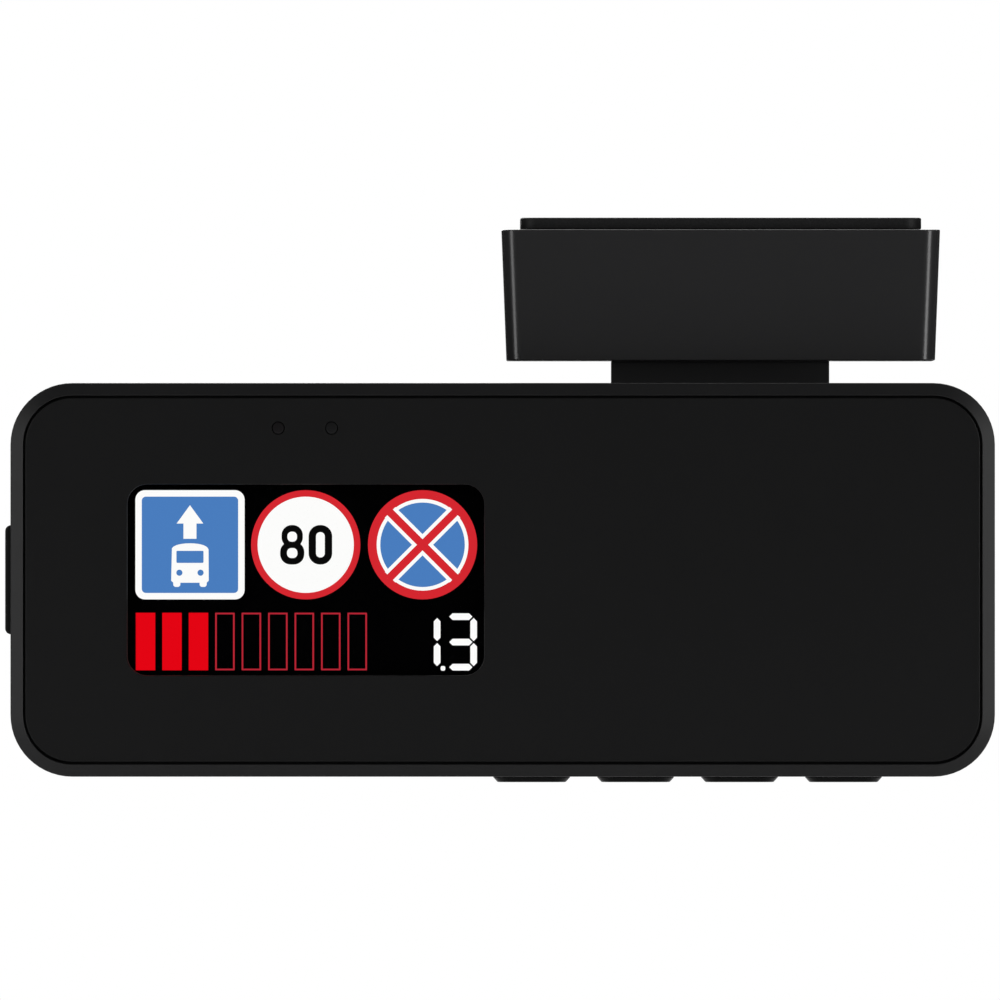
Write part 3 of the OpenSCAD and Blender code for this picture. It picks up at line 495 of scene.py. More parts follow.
def row_tree():
    """Copies of an item along a line, each narrowed to its chord of a circle about the row's middle."""
    tree = Tree("Row", {
        "Item": "NodeSocketObject", "Count": "NodeSocketInt", "Start": "NodeSocketVector",
        "Step": "NodeSocketVector", "Chord radius": "NodeSocketFloat", "Material": "NodeSocketMaterial",
    })
    line = tree.node(
        "GeometryNodeMeshLine", Count=tree["Count"], Start_Location=tree["Start"], Offset=tree["Step"]
    )
    item = tree.item()
    middle = tree.maths("MULTIPLY_ADD", tree["Count"], 0.5, -0.5)
    from_middle = tree.maths("SUBTRACT", tree.node("GeometryNodeInputIndex"), middle)
    pitch = tree.node("ShaderNodeVectorMath", {"operation": "LENGTH"}, output="Value", Vector=tree["Step"])
    share = tree.maths("DIVIDE", tree.maths("MULTIPLY", from_middle, pitch), tree["Chord radius"])
    chord = tree.maths("SQRT", tree.maths("SUBTRACT", 1.0, tree.maths("MULTIPLY", share, share)))
    stretch = tree.node("ShaderNodeCombineXYZ", X=chord, Y=1.0, Z=1.0)
    copies = tree.node("GeometryNodeInstanceOnPoints", Points=line, Instance=item, Scale=stretch)
    tree.close(copies)
    return tree


def corner_tree():
    """Copies of an item at the four corners of an upright rectangle."""
    tree = Tree("Corners", {
        "Item": "NodeSocketObject", "Width": "NodeSocketFloat", "Height": "NodeSocketFloat",
        "Centre": "NodeSocketVector", "Material": "NodeSocketMaterial",
    })
    grid = tree.node(
        "GeometryNodeMeshGrid", Size_X=tree["Width"], Size_Y=tree["Height"], Vertices_X=2, Vertices_Y=2
    )
    upright = tree.node(
        "GeometryNodeTransform", Geometry=grid, Rotation=(math.pi / 2, 0, 0), Translation=tree["Centre"]
    )
    copies = tree.node("GeometryNodeInstanceOnPoints", Points=upright, Instance=tree.item())
    tree.close(copies)
    return tree


def repeated(name, tree, item, values):
    """Grows a tree round an item and removes the item."""
    obj = grown(name, tree, {"Item": item, **values})
    bpy.data.objects.remove(item, do_unlink=True)
    return obj


# ---- Materials ----


class Value:
    """A shader socket that Python's operators work on."""

    def __init__(self, nodes, socket):
        self.nodes = nodes
        self.socket = socket

    def maths(self, operation, *values):
        node = self.nodes.new("ShaderNodeMath")
        node.operation = operation
        for socket, value in zip(node.inputs, values):
            connect(self.nodes, value, socket)
        return Value(self.nodes, node.outputs[0])

    def __add__(self, other):
        return self.maths("ADD", self, other)

    def __mul__(self, other):
        return self.maths("MULTIPLY", self, other)

    __radd__ = __add__
    __rmul__ = __mul__


def connect(nodes, value, socket):
    """Links a value or sets a constant."""
    if isinstance(value, Value):
        nodes.id_data.links.new(value.socket, socket)
    else:
        socket.default_value = value


class Finish:
    """A procedural material built from named nodes."""

    def __init__(self, name, **constants):
        self.material = bpy.data.materials.new(name)
        self.material.use_nodes = True
        self.nodes = self.material.node_tree.nodes
        self.shader = self.nodes["Principled BSDF"]
        self.place = self.node("ShaderNodeTexCoord", out="Object")
        self.set(**constants)

    def node(self, kind, settings=None, out=0, **sockets):
        """Adds a node. Its settings come first, then its sockets, named with _ for a space."""
        made = self.nodes.new(kind)
        for key, value in (settings or {}).items():
            setattr(made, key, value)
        for key, value in sockets.items():
            socket = next(s for s in made.inputs if s.enabled and s.name.replace(" ", "_") == key)
            connect(self.nodes, value, socket)
        return Value(self.nodes, made.outputs[out])

    def set(self, **sockets):
        for key, value in sockets.items():
            connect(self.nodes, value, self.shader.inputs[key.replace("_", " ")])
        return self

    def noise(self, size_mm, detail=3.0, roughness=0.55, stretch=(1, 1, 1)):
        """Noise from 0 to 1 whose features are about size_mm across."""
        spread = self.node("ShaderNodeMapping", Vector=self.place, Scale=stretch)
        return self.node(
            "ShaderNodeTexNoise", Vector=spread, Scale=1 / (size_mm * MM), Detail=detail, Roughness=roughness
        )

    def cells(self, size_mm, feature="F1"):
        return self.node(
            "ShaderNodeTexVoronoi", {"feature": feature}, Vector=self.place, Scale=1 / (size_mm * MM)
        )

    def blend(self, share, first, second):
        """A colour between two."""
        made = self.nodes.new("ShaderNodeMix")
        made.data_type = "RGBA"
        connect(self.nodes, share, made.inputs["Factor"])
        for socket, colour in zip((s for s in made.inputs if s.type == "RGBA"), (first, second)):
            connect(self.nodes, colour if isinstance(colour, Value) else (*colour, 1.0), socket)
        return Value(self.nodes, next(s for s in made.outputs if s.type == "RGBA"))

    def relief(self, height, depth_mm, strength=1.0):
        """Bumps of a given depth in the surface."""
        self.set(Normal=self.node("ShaderNodeBump", Height=height, Distance=depth_mm * MM, Strength=strength))
        return self


def scaled(colour, factor):
    """A colour made lighter or darker."""
    return tuple(min(1.0, c * factor) for c in colour)


def moulded(name, colour, grain_mm, grain_depth, rough, shine=0.32):
    """Textured thermoplastic: fine spark-eroded grain over slow changes of tone and gloss."""
    made = Finish(name, Specular_IOR_Level=shine)
    slow = made.noise(40.0, 2.0)
    grain = made.noise(grain_mm, 2.0, 0.6)
    pits = made.cells(grain_mm * 1.6)
    made.set(
        Base_Color=made.blend(slow * 0.6 + grain * 0.4, scaled(colour, 0.92), scaled(colour, 1.08)),
        Roughness=slow * 0.03 + grain * 0.04 + (rough - 0.035),
    )
    return made.relief(grain * 0.7 + pits * 0.3, grain_depth).material


def satin(name, colour, rough, depth=0.004, shine=0.3):
    """Smooth satin moulding with a faint orange peel."""
    made = Finish(name, Specular_IOR_Level=shine)
    slow = made.noise(14.0, 2.0)
    peel = made.noise(0.8, 2.0)
    made.set(
        Base_Color=made.blend(slow, scaled(colour, 0.93), scaled(colour, 1.07)),
        Roughness=slow * 0.05 + peel * 0.03 + (rough - 0.04),
    )
    return made.relief(peel, depth).material


def rubber(name, colour):
    """Dull soft rubber with a fine matt tooth."""
    made = Finish(name, Specular_IOR_Level=0.25, Sheen_Weight=0.05)
    tooth = made.noise(0.12, 3.0, 0.7)
    dust = made.noise(3.0, 4.0)
    made.set(
        Base_Color=made.blend(dust, scaled(colour, 0.8), scaled(colour, 1.35)),
        Roughness=dust * 0.1 + 0.72,
    )
    return made.relief(tooth, 0.01).material


def foam(name, colour):
    """Closed-cell foam: small round cells in a dull black body."""
    made = Finish(name, Specular_IOR_Level=0.35)
    cells = made.cells(0.22)
    fine = made.noise(0.08, 3.0)
    made.set(
        Base_Color=made.blend(cells, scaled(colour, 0.7), scaled(colour, 1.5)),
        Roughness=fine * 0.1 + 0.5,
    )
    return made.relief(cells * 0.8 + fine * 0.2, 0.025).material


def metal(name, colour, rough, grain=(1, 1, 12)):
    """Plated or rolled metal with a fine directional grain."""
    made = Finish(name, Metallic=1.0)
    lines = made.noise(0.6, 3.0, 0.6, grain)
    stain = made.noise(4.0, 3.0)
    made.set(
        Base_Color=made.blend(stain, scaled(colour, 0.88), scaled(colour, 1.08)),
        Roughness=lines * 0.16 + stain * 0.08 + (rough - 0.1),
    )
    return made.relief(lines, 0.003).material


def cast_metal(name, colour):
    """Die-cast metal with a fine rough skin."""
    made = Finish(name, Metallic=1.0)
    skin = made.noise(0.35, 4.0, 0.65)
    flow = made.noise(6.0, 2.0)
    made.set(
        Base_Color=made.blend(flow, scaled(colour, 0.82), scaled(colour, 1.1)),
        Roughness=skin * 0.2 + 0.38,
    )
    return made.relief(skin, 0.02).material


def laminate(name, colour):
    """Solder mask over copper tracks, as a soft pattern of straight runs."""
    made = Finish(name, Specular_IOR_Level=0.5)
    run = 4 * MM
    tracks = made.node(
        "ShaderNodeTexBrick", {"offset": 0.5}, out="Fac", Vector=made.place, Scale=1 / run, Mortar_Size=0.06
    )
    slow = made.noise(5.0, 2.0)
    made.set(
        Base_Color=made.blend(tracks * 0.5 + slow * 0.3, colour, scaled(colour, 2.2)),
        Roughness=slow * 0.1 + 0.3,
    )
    return made.relief(tracks, 0.03).material


def speckled(name, colour, size_mm, rough, contrast=0.2, metallic=0.0):
    """A plain body with fine speckle, for small components."""
    made = Finish(name, Metallic=metallic)
    specks = made.noise(size_mm, 3.0)
    made.set(
        Base_Color=made.blend(specks, scaled(colour, 1 - contrast), scaled(colour, 1 + contrast)),
        Roughness=specks * 0.12 + (rough - 0.06),
    )
    return made.relief(specks, 0.006).material


def clear_window(name):
    """A clear window with a quiet coating: almost black, and it lets the picture through."""
    made = Finish(name, Specular_IOR_Level=0.08, Alpha=0.025)
    film = made.noise(9.0, 2.0)
    made.set(
        Base_Color=made.blend(film, (0.001, 0.001, 0.001), (0.002, 0.002, 0.0024)),
        Roughness=film * 0.03 + 0.04,
    )
    return made.material


def dark_glass(name):
    """The unlit liquid-crystal cell."""
    made = Finish(name, Specular_IOR_Level=0.05)
    film = made.noise(6.0, 2.0)
    made.set(
        Base_Color=made.blend(film, (0.0003, 0.0003, 0.0004), (0.0007, 0.0007, 0.0009)),
        Roughness=film * 0.05 + 0.2,
    )
    return made.material


def lit(name, colour, strength=1.04):
    """A lit part of the picture, with the faint unevenness of its pixels."""
    made = Finish(
        name, Base_Color=(0, 0, 0, 1), Specular_IOR_Level=0.0, Roughness=0.6, Emission_Strength=strength
    )
    uneven = made.noise(0.25, 1.0)
    made.set(Emission_Color=made.blend(uneven, scaled(colour, 0.97), scaled(colour, 1.0)))
    return made.material


def filter_lens(name):
    """Deep red infrared filter, glossy."""
    made = Finish(name, Specular_IOR_Level=0.4, Coat_Weight=0.4, Coat_Roughness=0.18)
    depth = made.noise(4.0, 2.0)
    made.set(
        Base_Color=made.blend(depth, (0.012, 0.0015, 0.002), (0.03, 0.003, 0.004)),
        Roughness=depth * 0.04 + 0.2,
    )
    return made.material


FINISHES = {}


def material(name):
    """One shared material for each finish, made when it is first wanted."""
    tone = colours()
    makers = {
        "housing": lambda: moulded("housing black", tone.housing, 0.16, 0.012, 0.5),
        "bracket": lambda: moulded("bracket black", scaled(tone.housing, 1.9), 0.16, 0.003, 0.24, 0.6),
        # The neck's copy of the housing black is five times lighter: painted light, standing in for the light
        # that its shaded gap between the bracket and the unit does not get.
        "neck": lambda: moulded("neck black", scaled(tone.housing, 5.0), 0.16, 0.008, 0.4),
        "rim": lambda: satin("rim black", scaled(tone.housing, 1.05), 0.42),
        "face": lambda: moulded("face black", tone.face, 0.12, 0.003, 0.4),
        "keys": lambda: satin("key black", tone.keys, 0.26, shine=0.1),
        "rubber": lambda: rubber("soft black", tone.rubber),
        "foam": lambda: foam("foam black", tone.foam),
        "steel": lambda: metal("plated steel", (0.5, 0.5, 0.51), 0.3),
        "dark steel": lambda: metal("black screw steel", (0.08, 0.08, 0.085), 0.35),
        "washer": lambda: speckled("natural acetal", (0.72, 0.66, 0.5), 0.5, 0.45, 0.06),
        "board": lambda: laminate("solder mask", (0.012, 0.075, 0.03)),
        "ceramic": lambda: speckled("fired ceramic", (0.6, 0.5, 0.38), 0.3, 0.5, 0.12),
        "black cable": lambda: rubber("cable black", (0.012, 0.012, 0.012)),
        "red wire": lambda: speckled("wire red", (0.42, 0.015, 0.015), 0.6, 0.4, 0.1),
        "cell glass": lambda: dark_glass("liquid crystal"),
        "window": lambda: clear_window("clear window"),
        "light guide": lambda: speckled("white guide", (0.8, 0.8, 0.8), 1.0, 0.25, 0.04),
        "ribbon": lambda: speckled("amber ribbon", (0.5, 0.24, 0.04), 0.8, 0.25, 0.15),
        "dark guide": lambda: speckled("dark guide", (0.0075, 0.006, 0.007), 0.8, 0.3, 0.1),
        "smoked guide": lambda: speckled("smoked guide", (0.0085, 0.0085, 0.009), 0.8, 0.3, 0.1),
        "component": lambda: speckled("component black", (0.018, 0.018, 0.019), 0.2, 0.5, 0.25),
        "connector": lambda: speckled("cream connector", (0.68, 0.62, 0.48), 0.5, 0.45, 0.06),
        "cast": lambda: cast_metal("cast zinc", (0.55, 0.55, 0.54)),
        "laser filter": lambda: filter_lens("laser filter"),
        "cone": lambda: speckled("loudspeaker cone", (0.02, 0.02, 0.022), 0.15, 0.6, 0.3),
        "gold": lambda: metal("contact gold", (0.72, 0.5, 0.18), 0.25, (1, 1, 1)),
        "white light": lambda: lit("picture white", (1.0, 1.0, 0.99)),
        "blue light": lambda: lit("picture blue", tone.sign_blue),
        "red light": lambda: lit("picture red", tone.sign_red),
        "bar light": lambda: lit("picture bar", tone.bar_red),
        "outline light": lambda: lit("picture outline", tone.bar_outline),
        "dark light": lambda: lit("picture dark", (0.003, 0.003, 0.003)),
    }
    if name not in FINISHES:
        FINISHES[name] = makers[name]()
    return FINISHES[name]


# ---- The main unit ----


def unit_ring(inset, depth, steps=14):
    """The unit's outline, drawn in by an inset, at one depth."""
    corner = sizes().corner
    outline = round_outline(
        FRONT.size.x - 2 * inset, FRONT.size.z - 2 * inset, corner - inset, steps, (FRONT.mid.x, FRONT.mid.z)
    )
    return [place(p, "y", depth) for p in outline]


class DETECTOR_OT_front_frame(bpy.types.Operator):
    """Build the front frame with its sloped rim and the shelf for the face panel"""

    bl_idname = "detector.front_frame"
    bl_label = "Front frame"

    def execute(self, context):
        size = sizes()
        front, seam = FRONT.low.y, FRONT.high.y
        rim, slope, soft = size.rim, size.rim_slope, size.soft_edge / 2
        shelf_front = PANEL.high.y + 0.15
        shelf_back = shelf_front + 1.05
        inner = rim + size.shelf
        outer = front + slope
        profile = [(size.wall, seam), (soft / 2, seam), (0, seam - soft / 2), (0, outer + soft)]
        profile += quarter(0, outer + soft, soft * 0.6, outer - soft * 0.15, 5, depth_first=True)
        profile += [(soft * 0.6, outer - soft * 0.25), (rim - 0.08, front), (rim - 0.02, front + 0.03)]
        profile += [(rim, front + 0.1), (rim, shelf_front), (inner, shelf_front), (inner, shelf_back)]
        profile += [(size.wall, shelf_back)]
        rings = [unit_ring(i, d) for i, d in profile]
        obj = to_object("front_frame_shell", loft(rings, ring_closed=True), 24)
        finish(obj, material("rim"), UNIT, "black_plastic", "front_frame")
        return {"FINISHED"}


def stadium(width, depth, centre, steps=12):
    """A bar with half-round ends."""
    return round_outline(width, depth, depth / 2, steps, centre)


def grille_cutter():
    """The loudspeaker's slots: one stadium bar repeated down the circle and stretched to its chords."""
    radius = SPEAKER.size.x / 2 - 1
    slot_width, slot_reach = 1.2, 3.0
    pitch, count = 2.4, 7
    item = to_object("slot", prism(stadium(2 * radius, slot_width, (0, 0)), "y", -slot_reach, slot_reach))
    start = Vector((SPEAKER.mid.x, REAR.high.y, SPEAKER.mid.z - pitch * (count - 1) / 2))
    return repeated("grille cutter", row_tree(), item, {
        "Count": count, "Start": start * MM, "Step": Vector((0, 0, pitch * MM)),
        "Chord radius": radius * MM, "Material": material("housing"),
    })


def corner_places():
    """Where the housing screws stand, as (x, z)."""
    edge = SCREWS.size.x / 2 - SCREW_HEAD
    rise = SCREWS.size.z / 2 - SCREW_HEAD
    return [(SCREWS.mid.x + sx * edge, SCREWS.mid.z + sz * rise) for sx in (-1, 1) for sz in (-1, 1)]


class DETECTOR_OT_rear_housing(bpy.types.Operator):
    """Build the rear housing with its hinge pocket, screw wells, grille and openings"""

    bl_idname = "detector.rear_housing"
    bl_label = "Rear housing"

    def shell(self):
        """The bare shell, closed over the whole windscreen side."""
        size = sizes()
        back, seam, edge, wall = REAR.high.y, REAR.low.y, size.back_edge, size.wall
        soft = size.soft_edge
        profile = [(wall, back - wall), (wall, seam), (soft / 2, seam), (0, seam + soft / 2)]
        profile += [(0, back - edge)]
        profile += quarter(0, back - edge, edge, back, 9, depth_first=True) + [(edge, back)]
        return to_object("rear_housing_shell", loft([unit_ring(i, d) for i, d in profile]), 30)

    def add_inner_walls(self, obj, pocket, reach):
        """The hinge pocket's walls, the screw posts and the loudspeaker's ring."""
        wall = sizes().wall
        inside_back = REAR.high.y - wall
        under_skin = 0.6 * wall
        cheek = 5
        block = box_outline(
            -reach - wall, AXIS_Z - reach - wall, REAR.high.y - under_skin, REAR.high.z - under_skin
        )
        add(obj, prism(block, "x", -pocket - cheek, pocket + cheek))
        post = 3.2
        for x, z in corner_places():
            add(obj, prism(circle_outline(post, (x, z), 32), "y", REAR.low.y, inside_back + wall / 2))
        radius = SPEAKER.size.x / 2
        ring = box_outline(radius + 0.1, inside_back + 1, radius + 1.3, inside_back - 2.8)
        add(obj, lathe(ring, (SPEAKER.mid.x, SPEAKER.mid.z), "y"))

    def screw_wells(self):
        """Stepped holes: a wide well down to the screw's seat and a narrow one for its shank."""
        well, shank = 2.2, 1.15
        start, end = REAR.low.y - PAST, REAR.high.y + PAST
        seat = SCREWS.high.y - SCREW_HEIGHT
        profile = [(0, start), (shank, start), (shank, seat), (well, seat), (well, end), (0, end)]
        return [lathe(profile, spot, "y", 32) for spot in corner_places()]

    def key_slots(self):
        """Holes in the bottom wall that the keys' caps come out of."""
        slots = []
        gap = 0.3
        start, end = REAR.low.z - PAST, REAR.low.z + sizes().wall + PAST
        for node in KEYS:
            key = Span(node)
            width = key.size.x - 2 * KEY_FLANGE + gap
            slots.append(prism(stadium(width, key.size.y + gap, (key.mid.x, key.mid.y)), "z", start, end))
        return slots

    def side_openings(self):
        """The side cover's recess and the hole for the service socket."""
        gap = 0.3
        left = REAR.low.x
        low, high = TAIL.low.z - 0.1, COVER.high.z + gap
        recess = round_outline(COVER.size.y + 2 * gap, high - low, 0.8, 5, (COVER.mid.y, (high + low) / 2))
        port = round_outline(PORT.size.y + 0.2, PORT.size.z + 0.2, 1.5, 6, (PORT.mid.y, PORT.mid.z))
        return [
            prism(recess, "x", left - PAST, TAIL.low.x + 1.0),
            prism(port, "x", left - PAST, left + sizes().wall + PAST),
        ]

    def execute(self, context):
        wall = sizes().wall
        back, top = REAR.high.y, REAR.high.z
        pocket = PINS.size.x / 2 - PIN_REACH
        reach = NECK.mid.y - NECK.low.y + 0.5
        obj = self.shell()
        skin = skin_tree(obj)
        self.add_inner_walls(obj, pocket, reach)
        open_end = 5
        pocket_hole = box_outline(-reach, AXIS_Z - reach, back + open_end, top + open_end)
        laser_hole = circle_outline(LASER.size.x / 2 - 1.0, (LASER.mid.x, LASER.mid.z))
        socket_hole = circle_outline(3.4, (SOCKET.mid.x, SOCKET.mid.y))
        cutters = [
            prism(pocket_hole, "x", -pocket, pocket),
            prism(laser_hole, "y", back - wall - PAST, back + PAST),
            prism(socket_hole, "z", top - wall - PAST, top + PAST),
        ]
        cut(obj, cutters + self.screw_wells() + self.key_slots() + self.side_openings())
        combine(obj, grille_cutter(), "DIFFERENCE")
        soften(obj, skin, 0.22)
        finish(obj, material("housing"), UNIT, "black_plastic", "rear_housing")
        return {"FINISHED"}


class DETECTOR_OT_face(bpy.types.Operator):
    """Build the face panel, the display window and the two pin-hole light guides"""

    bl_idname = "detector.face"
    bl_label = "Face"

    def panel(self):
        """The face panel with the window's opening and the two pin holes."""
        size = sizes()
        front, back = PANEL.low.y, PANEL.high.y
        corner = size.corner - (PANEL.low.x - FRONT.low.x)
        middle = (PANEL.mid.x, PANEL.mid.z)
        obj = to_object("face_plate", soft_prism(
            PANEL.size.x, PANEL.size.z, corner, "y", front, back, 0.15, middle, 14, (True, False)))
        skin = skin_tree(obj)
        gap = 0.06
        window = round_outline(
            LENS.size.x - 2 * LIP + 2 * gap, LENS.size.z - 2 * LIP + 2 * gap, size.window_corner + gap, 10,
            (LENS.mid.x, LENS.mid.z),
        )
        outlines = [window]
        for guide in (SENSOR, STATUS):
            outlines.append(circle_outline(0.8, (guide.mid.x, guide.mid.z), 32))
        cut(obj, [prism(outline, "y", front - PAST, back + PAST) for outline in outlines])
        soften(obj, skin, 0.05)
        finish(obj, material("face"), UNIT, "face_plastic", "face_panel")

    def window(self):
        """The clear window, with its flange behind the panel."""
        front, step = LENS.low.y, PANEL.high.y + 0.002
        profile = [(LIP + 0.06, front), (LIP + 0.02, front + 0.02), (LIP, front + 0.06), (LIP, step)]
        profile += [(0.05, step), (0, step + 0.05), (0, LENS.high.y)]
        corner, centre = sizes().window_corner + LIP, (LENS.mid.x, LENS.mid.z)
        rings = inset_rings(LENS.size.x, LENS.size.z, corner, "y", profile, centre, 10)
        lens = to_object("display_window", loft(rings))
        finish(lens, material("window"), UNIT, "lens_black", "display_lens")

    def light_guides(self):
        """The guides that fill the two pin holes."""
        back = PANEL.high.y
        for name, guide, look, slot, node in (
            ("light_sensor_guide", SENSOR, "dark guide", "dark_window", "light_sensor"),
            ("status_light_guide", STATUS, "smoked guide", "light_pipe", "status_light"),
        ):
            tip, foot = guide.low.y, guide.high.y
            profile = [(0, tip + 0.02), (0.45, tip), (0.68, tip + 0.03), (0.75, tip + 0.12)]
            profile += [(0.75, back), (1.3, back + 0.01), (1.3, back + 1.0), (0.75, back + 1.01)]
            profile += [(0.75, foot - 0.7), (1.0, foot - 0.69), (1.0, foot), (0, foot)]
            piece = to_object(name, lathe(profile, (guide.mid.x, guide.mid.z), "y", 32))
            finish(piece, material(look), UNIT, slot, node)

    def execute(self, context):
        self.panel()
        self.window()
        self.light_guides()
        return {"FINISHED"}


# ---- The picture on the display ----

LAYER = 0.02  # thickness of one layer of the picture


class Picture:
    """Flat shapes on the display, placed from the window's lower left corner, in layers."""

    def __init__(self):
        self.x = LENS.low.x + LIP
        self.z = LENS.low.z + LIP
        self.parts = []

    def shape(self, outline, look, layer):
        """One flat shape, counted in layers from the glass towards the driver."""
        back = GLASS.low.y - 0.02 - LAYER * layer
        points = [(self.x + u, self.z + v) for u, v in outline]
        self.parts.append((prism(points, "y", back - LAYER * 0.9, back), look))

    def piece(self, name):
        """Makes one piece of the shapes drawn since the last one."""
        looks = list(dict.fromkeys(look for _, look in self.parts))
        for bm, look in self.parts:
            for face in bm.faces:
                face.material_index = looks.index(look)
        obj = merged(name, [bm for bm, _ in self.parts])
        for look in looks:
            obj.data.materials.append(material(look))
        self.parts = []
        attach(obj, UNIT)


def turned(outline, degrees, centre):
    """An outline turned about a point."""
    turn = Matrix.Rotation(math.radians(degrees), 2)
    middle = Vector(centre)
    return [tuple(middle + turn @ (Vector(p) - middle)) for p in outline]


def segment(centre, length_, thick, upright):
    """A display segment with pointed ends."""
    half, tip = length_ / 2, thick / 2
    flat = half - tip
    points = [(-half, 0), (-flat, -tip), (flat, -tip), (half, 0), (flat, tip), (-flat, tip)]
    if upright:
        points = [(-v, u) for u, v in points]
    return [(centre[0] + u, centre[1] + v) for u, v in points]


SIGN_SIDE = 13.1  # the signs' size and the height of their centres above the window's lower edge
SIGN_Z = 15.6
BAR_Z = 4.0  # the middle of the lower row, and its height
BAR_H = 6.9


class DETECTOR_OT_picture(bpy.types.Operator):
    """Build the lit picture: three generic road signs, the signal bars and a distance"""

    bl_idname = "detector.picture"
    bl_label = "Display picture"

    def bus_lane_sign(self, picture, x):
        """A white arrow over the back of a bus, on a blue square."""
        rim = 0.77
        field = SIGN_SIDE - 2 * rim
        picture.shape(round_outline(SIGN_SIDE, SIGN_SIDE, 1.15, 8, (x, SIGN_Z)), "white light", 0)
        picture.shape(round_outline(field, field, 0.5, 6, (x, SIGN_Z)), "blue light", 1)
        tip, base, foot = SIGN_Z + 4.75, SIGN_Z + 2.55, SIGN_Z + 0.72
        shaft, barb = 0.78, 1.6
        arrow = [(x - shaft, foot), (x + shaft, foot), (x + shaft, base), (x + barb, base), (x, tip)]
        arrow += [(x - barb, base), (x - shaft, base)]
        picture.shape(arrow, "white light", 2)
        roof, floor = SIGN_Z + 0.18, SIGN_Z - 4.55
        body = [(x - 2.25, floor + 0.25), (x - 2.0, floor), (x + 2.0, floor), (x + 2.25, floor + 0.25)]
        arch = [(x + 2.25 * math.cos(math.radians(a)), roof - 1.0 + 1.0 * math.sin(math.radians(a)) ** 0.7)
                for a in range(8, 173, 12)]
        picture.shape(body + arch, "white light", 2)
        for side in (-1, 1):
            picture.shape(round_outline(0.85, 1.1, 0.3, 5, (x + side * 1.58, floor + 0.05)), "white light", 2)
            picture.shape(circle_outline(0.37, (x + side * 1.27, SIGN_Z - 3.35), 24), "blue light", 3)
        picture.shape(round_outline(3.25, 1.45, 0.12, 4, (x, SIGN_Z - 1.45)), "blue light", 3)
        picture.piece("bus_lane_sign")

    def speed_sign(self, picture, x):
        """A red ring round a two-figure limit on white."""
        radius = SIGN_SIDE / 2
        picture.shape(circle_outline(radius, (x, SIGN_Z), 72), "red light", 0)
        picture.shape(circle_outline(radius - 0.78, (x, SIGN_Z), 72), "white light", 1)
        left, right, height = x - 1.62, x + 1.76, 4.74
        low, high = SIGN_Z - height / 2, SIGN_Z + height / 2
        picture.shape(round_outline(2.55, 2.7, 1.2, 8, (left, high - 1.35)), "dark light", 2)
        picture.shape(round_outline(2.9, 2.75, 1.25, 8, (left, low + 1.375)), "dark light", 2)
        picture.shape(round_outline(1.15, 1.2, 0.5, 8, (left, high - 1.4)), "white light", 3)
        picture.shape(round_outline(1.25, 1.2, 0.52, 8, (left, low + 1.38)), "white light", 3)
        picture.shape(round_outline(2.83, height, 1.35, 8, (right, SIGN_Z)), "dark light", 2)
        picture.shape(round_outline(1.05, height - 1.7, 0.5, 8, (right, SIGN_Z)), "white light", 3)
        picture.piece("speed_limit_sign")

    def no_stopping_sign(self, picture, x):
        """A red cross and ring on blue, both edged in white."""
        radius = SIGN_SIDE / 2
        centre = (x, SIGN_Z)
        bands = ((1.8, radius - 1.05, "white light", 3), (0.95, radius - 0.5, "red light", 4))
        picture.shape(circle_outline(radius, centre, 72), "red light", 0)
        picture.shape(circle_outline(radius - 1.05, centre, 72), "white light", 1)
        picture.shape(circle_outline(radius - 1.48, centre, 72), "blue light", 2)
        for degrees in (45, -45):
            for width, reach, look, layer in bands:
                bar = round_outline(2 * reach, width, 0.01, 1, centre)
                picture.shape(turned(bar, degrees, centre), look, layer)
        picture.piece("no_stopping_sign")

    def bars(self, picture):
        """Nine signal bars: the first three are lit and the rest are outlines."""
        width, pitch, first, line = 2.33, 3.174, 2.12, 0.19
        back = GLASS.low.y - 0.02
        lit_bar = to_object("bar", prism(round_outline(width, BAR_H, 0.02, 1), "y", -LAYER, 0))
        outer = round_outline(width, BAR_H, 0.02, 1)
        inner = round_outline(width - 2 * line, BAR_H - 2 * line, 0.02, 1)
        rings = [[place(p, "y", d) for p in outline] for outline, d in
                 ((outer, -LAYER), (inner, -LAYER), (inner, 0), (outer, 0))]
        unlit_bar = to_object("frame", loft(rings, ring_closed=True))
        tree = row_tree()
        for name, item, start, count, look in (
            ("signal_bars_lit", lit_bar, 0, 3, "bar light"),
            ("signal_bars_unlit", unlit_bar, 3, 6, "outline light"),
        ):
            corner = Vector((picture.x + first + pitch * start, back, picture.z + BAR_Z))
            obj = repeated(name, tree, item, {
                "Count": count, "Start": corner * MM, "Step": Vector((pitch * MM, 0, 0)),
                "Chord radius": WIDE_ROW, "Material": material(look),
            })
            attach(obj, UNIT)

    def distance(self, picture):
        """The distance 1.3 in seven-segment figures."""
        thick, wide, tall = 0.8, 2.78, 2.76
        low, high = BAR_Z - 3.08, BAR_Z + 2.98
        one, three = 37.09, 39.93
        flank = three + 1.54
        for z in (BAR_Z + 1.44, BAR_Z - 1.57):
            picture.shape(segment((one, z), tall, thick, True), "white light", 0)
            picture.shape(segment((flank, z), tall, thick, True), "white light", 0)
        for z in (low, BAR_Z - 0.07, high):
            picture.shape(segment((three, z), wide, thick, False), "white light", 0)
        picture.shape(round_outline(0.56, 0.56, 0.2, 4, (37.79, low - 0.14)), "white light", 0)
        picture.piece("distance_figures")

    def execute(self, context):
        picture = Picture()
        self.bus_lane_sign(picture, 7.45)
        self.speed_sign(picture, 21.33)
        self.no_stopping_sign(picture, 35.34)
        self.bars(picture)
        self.distance(picture)
        return {"FINISHED"}


# ---- Keys, side cover and sockets ----


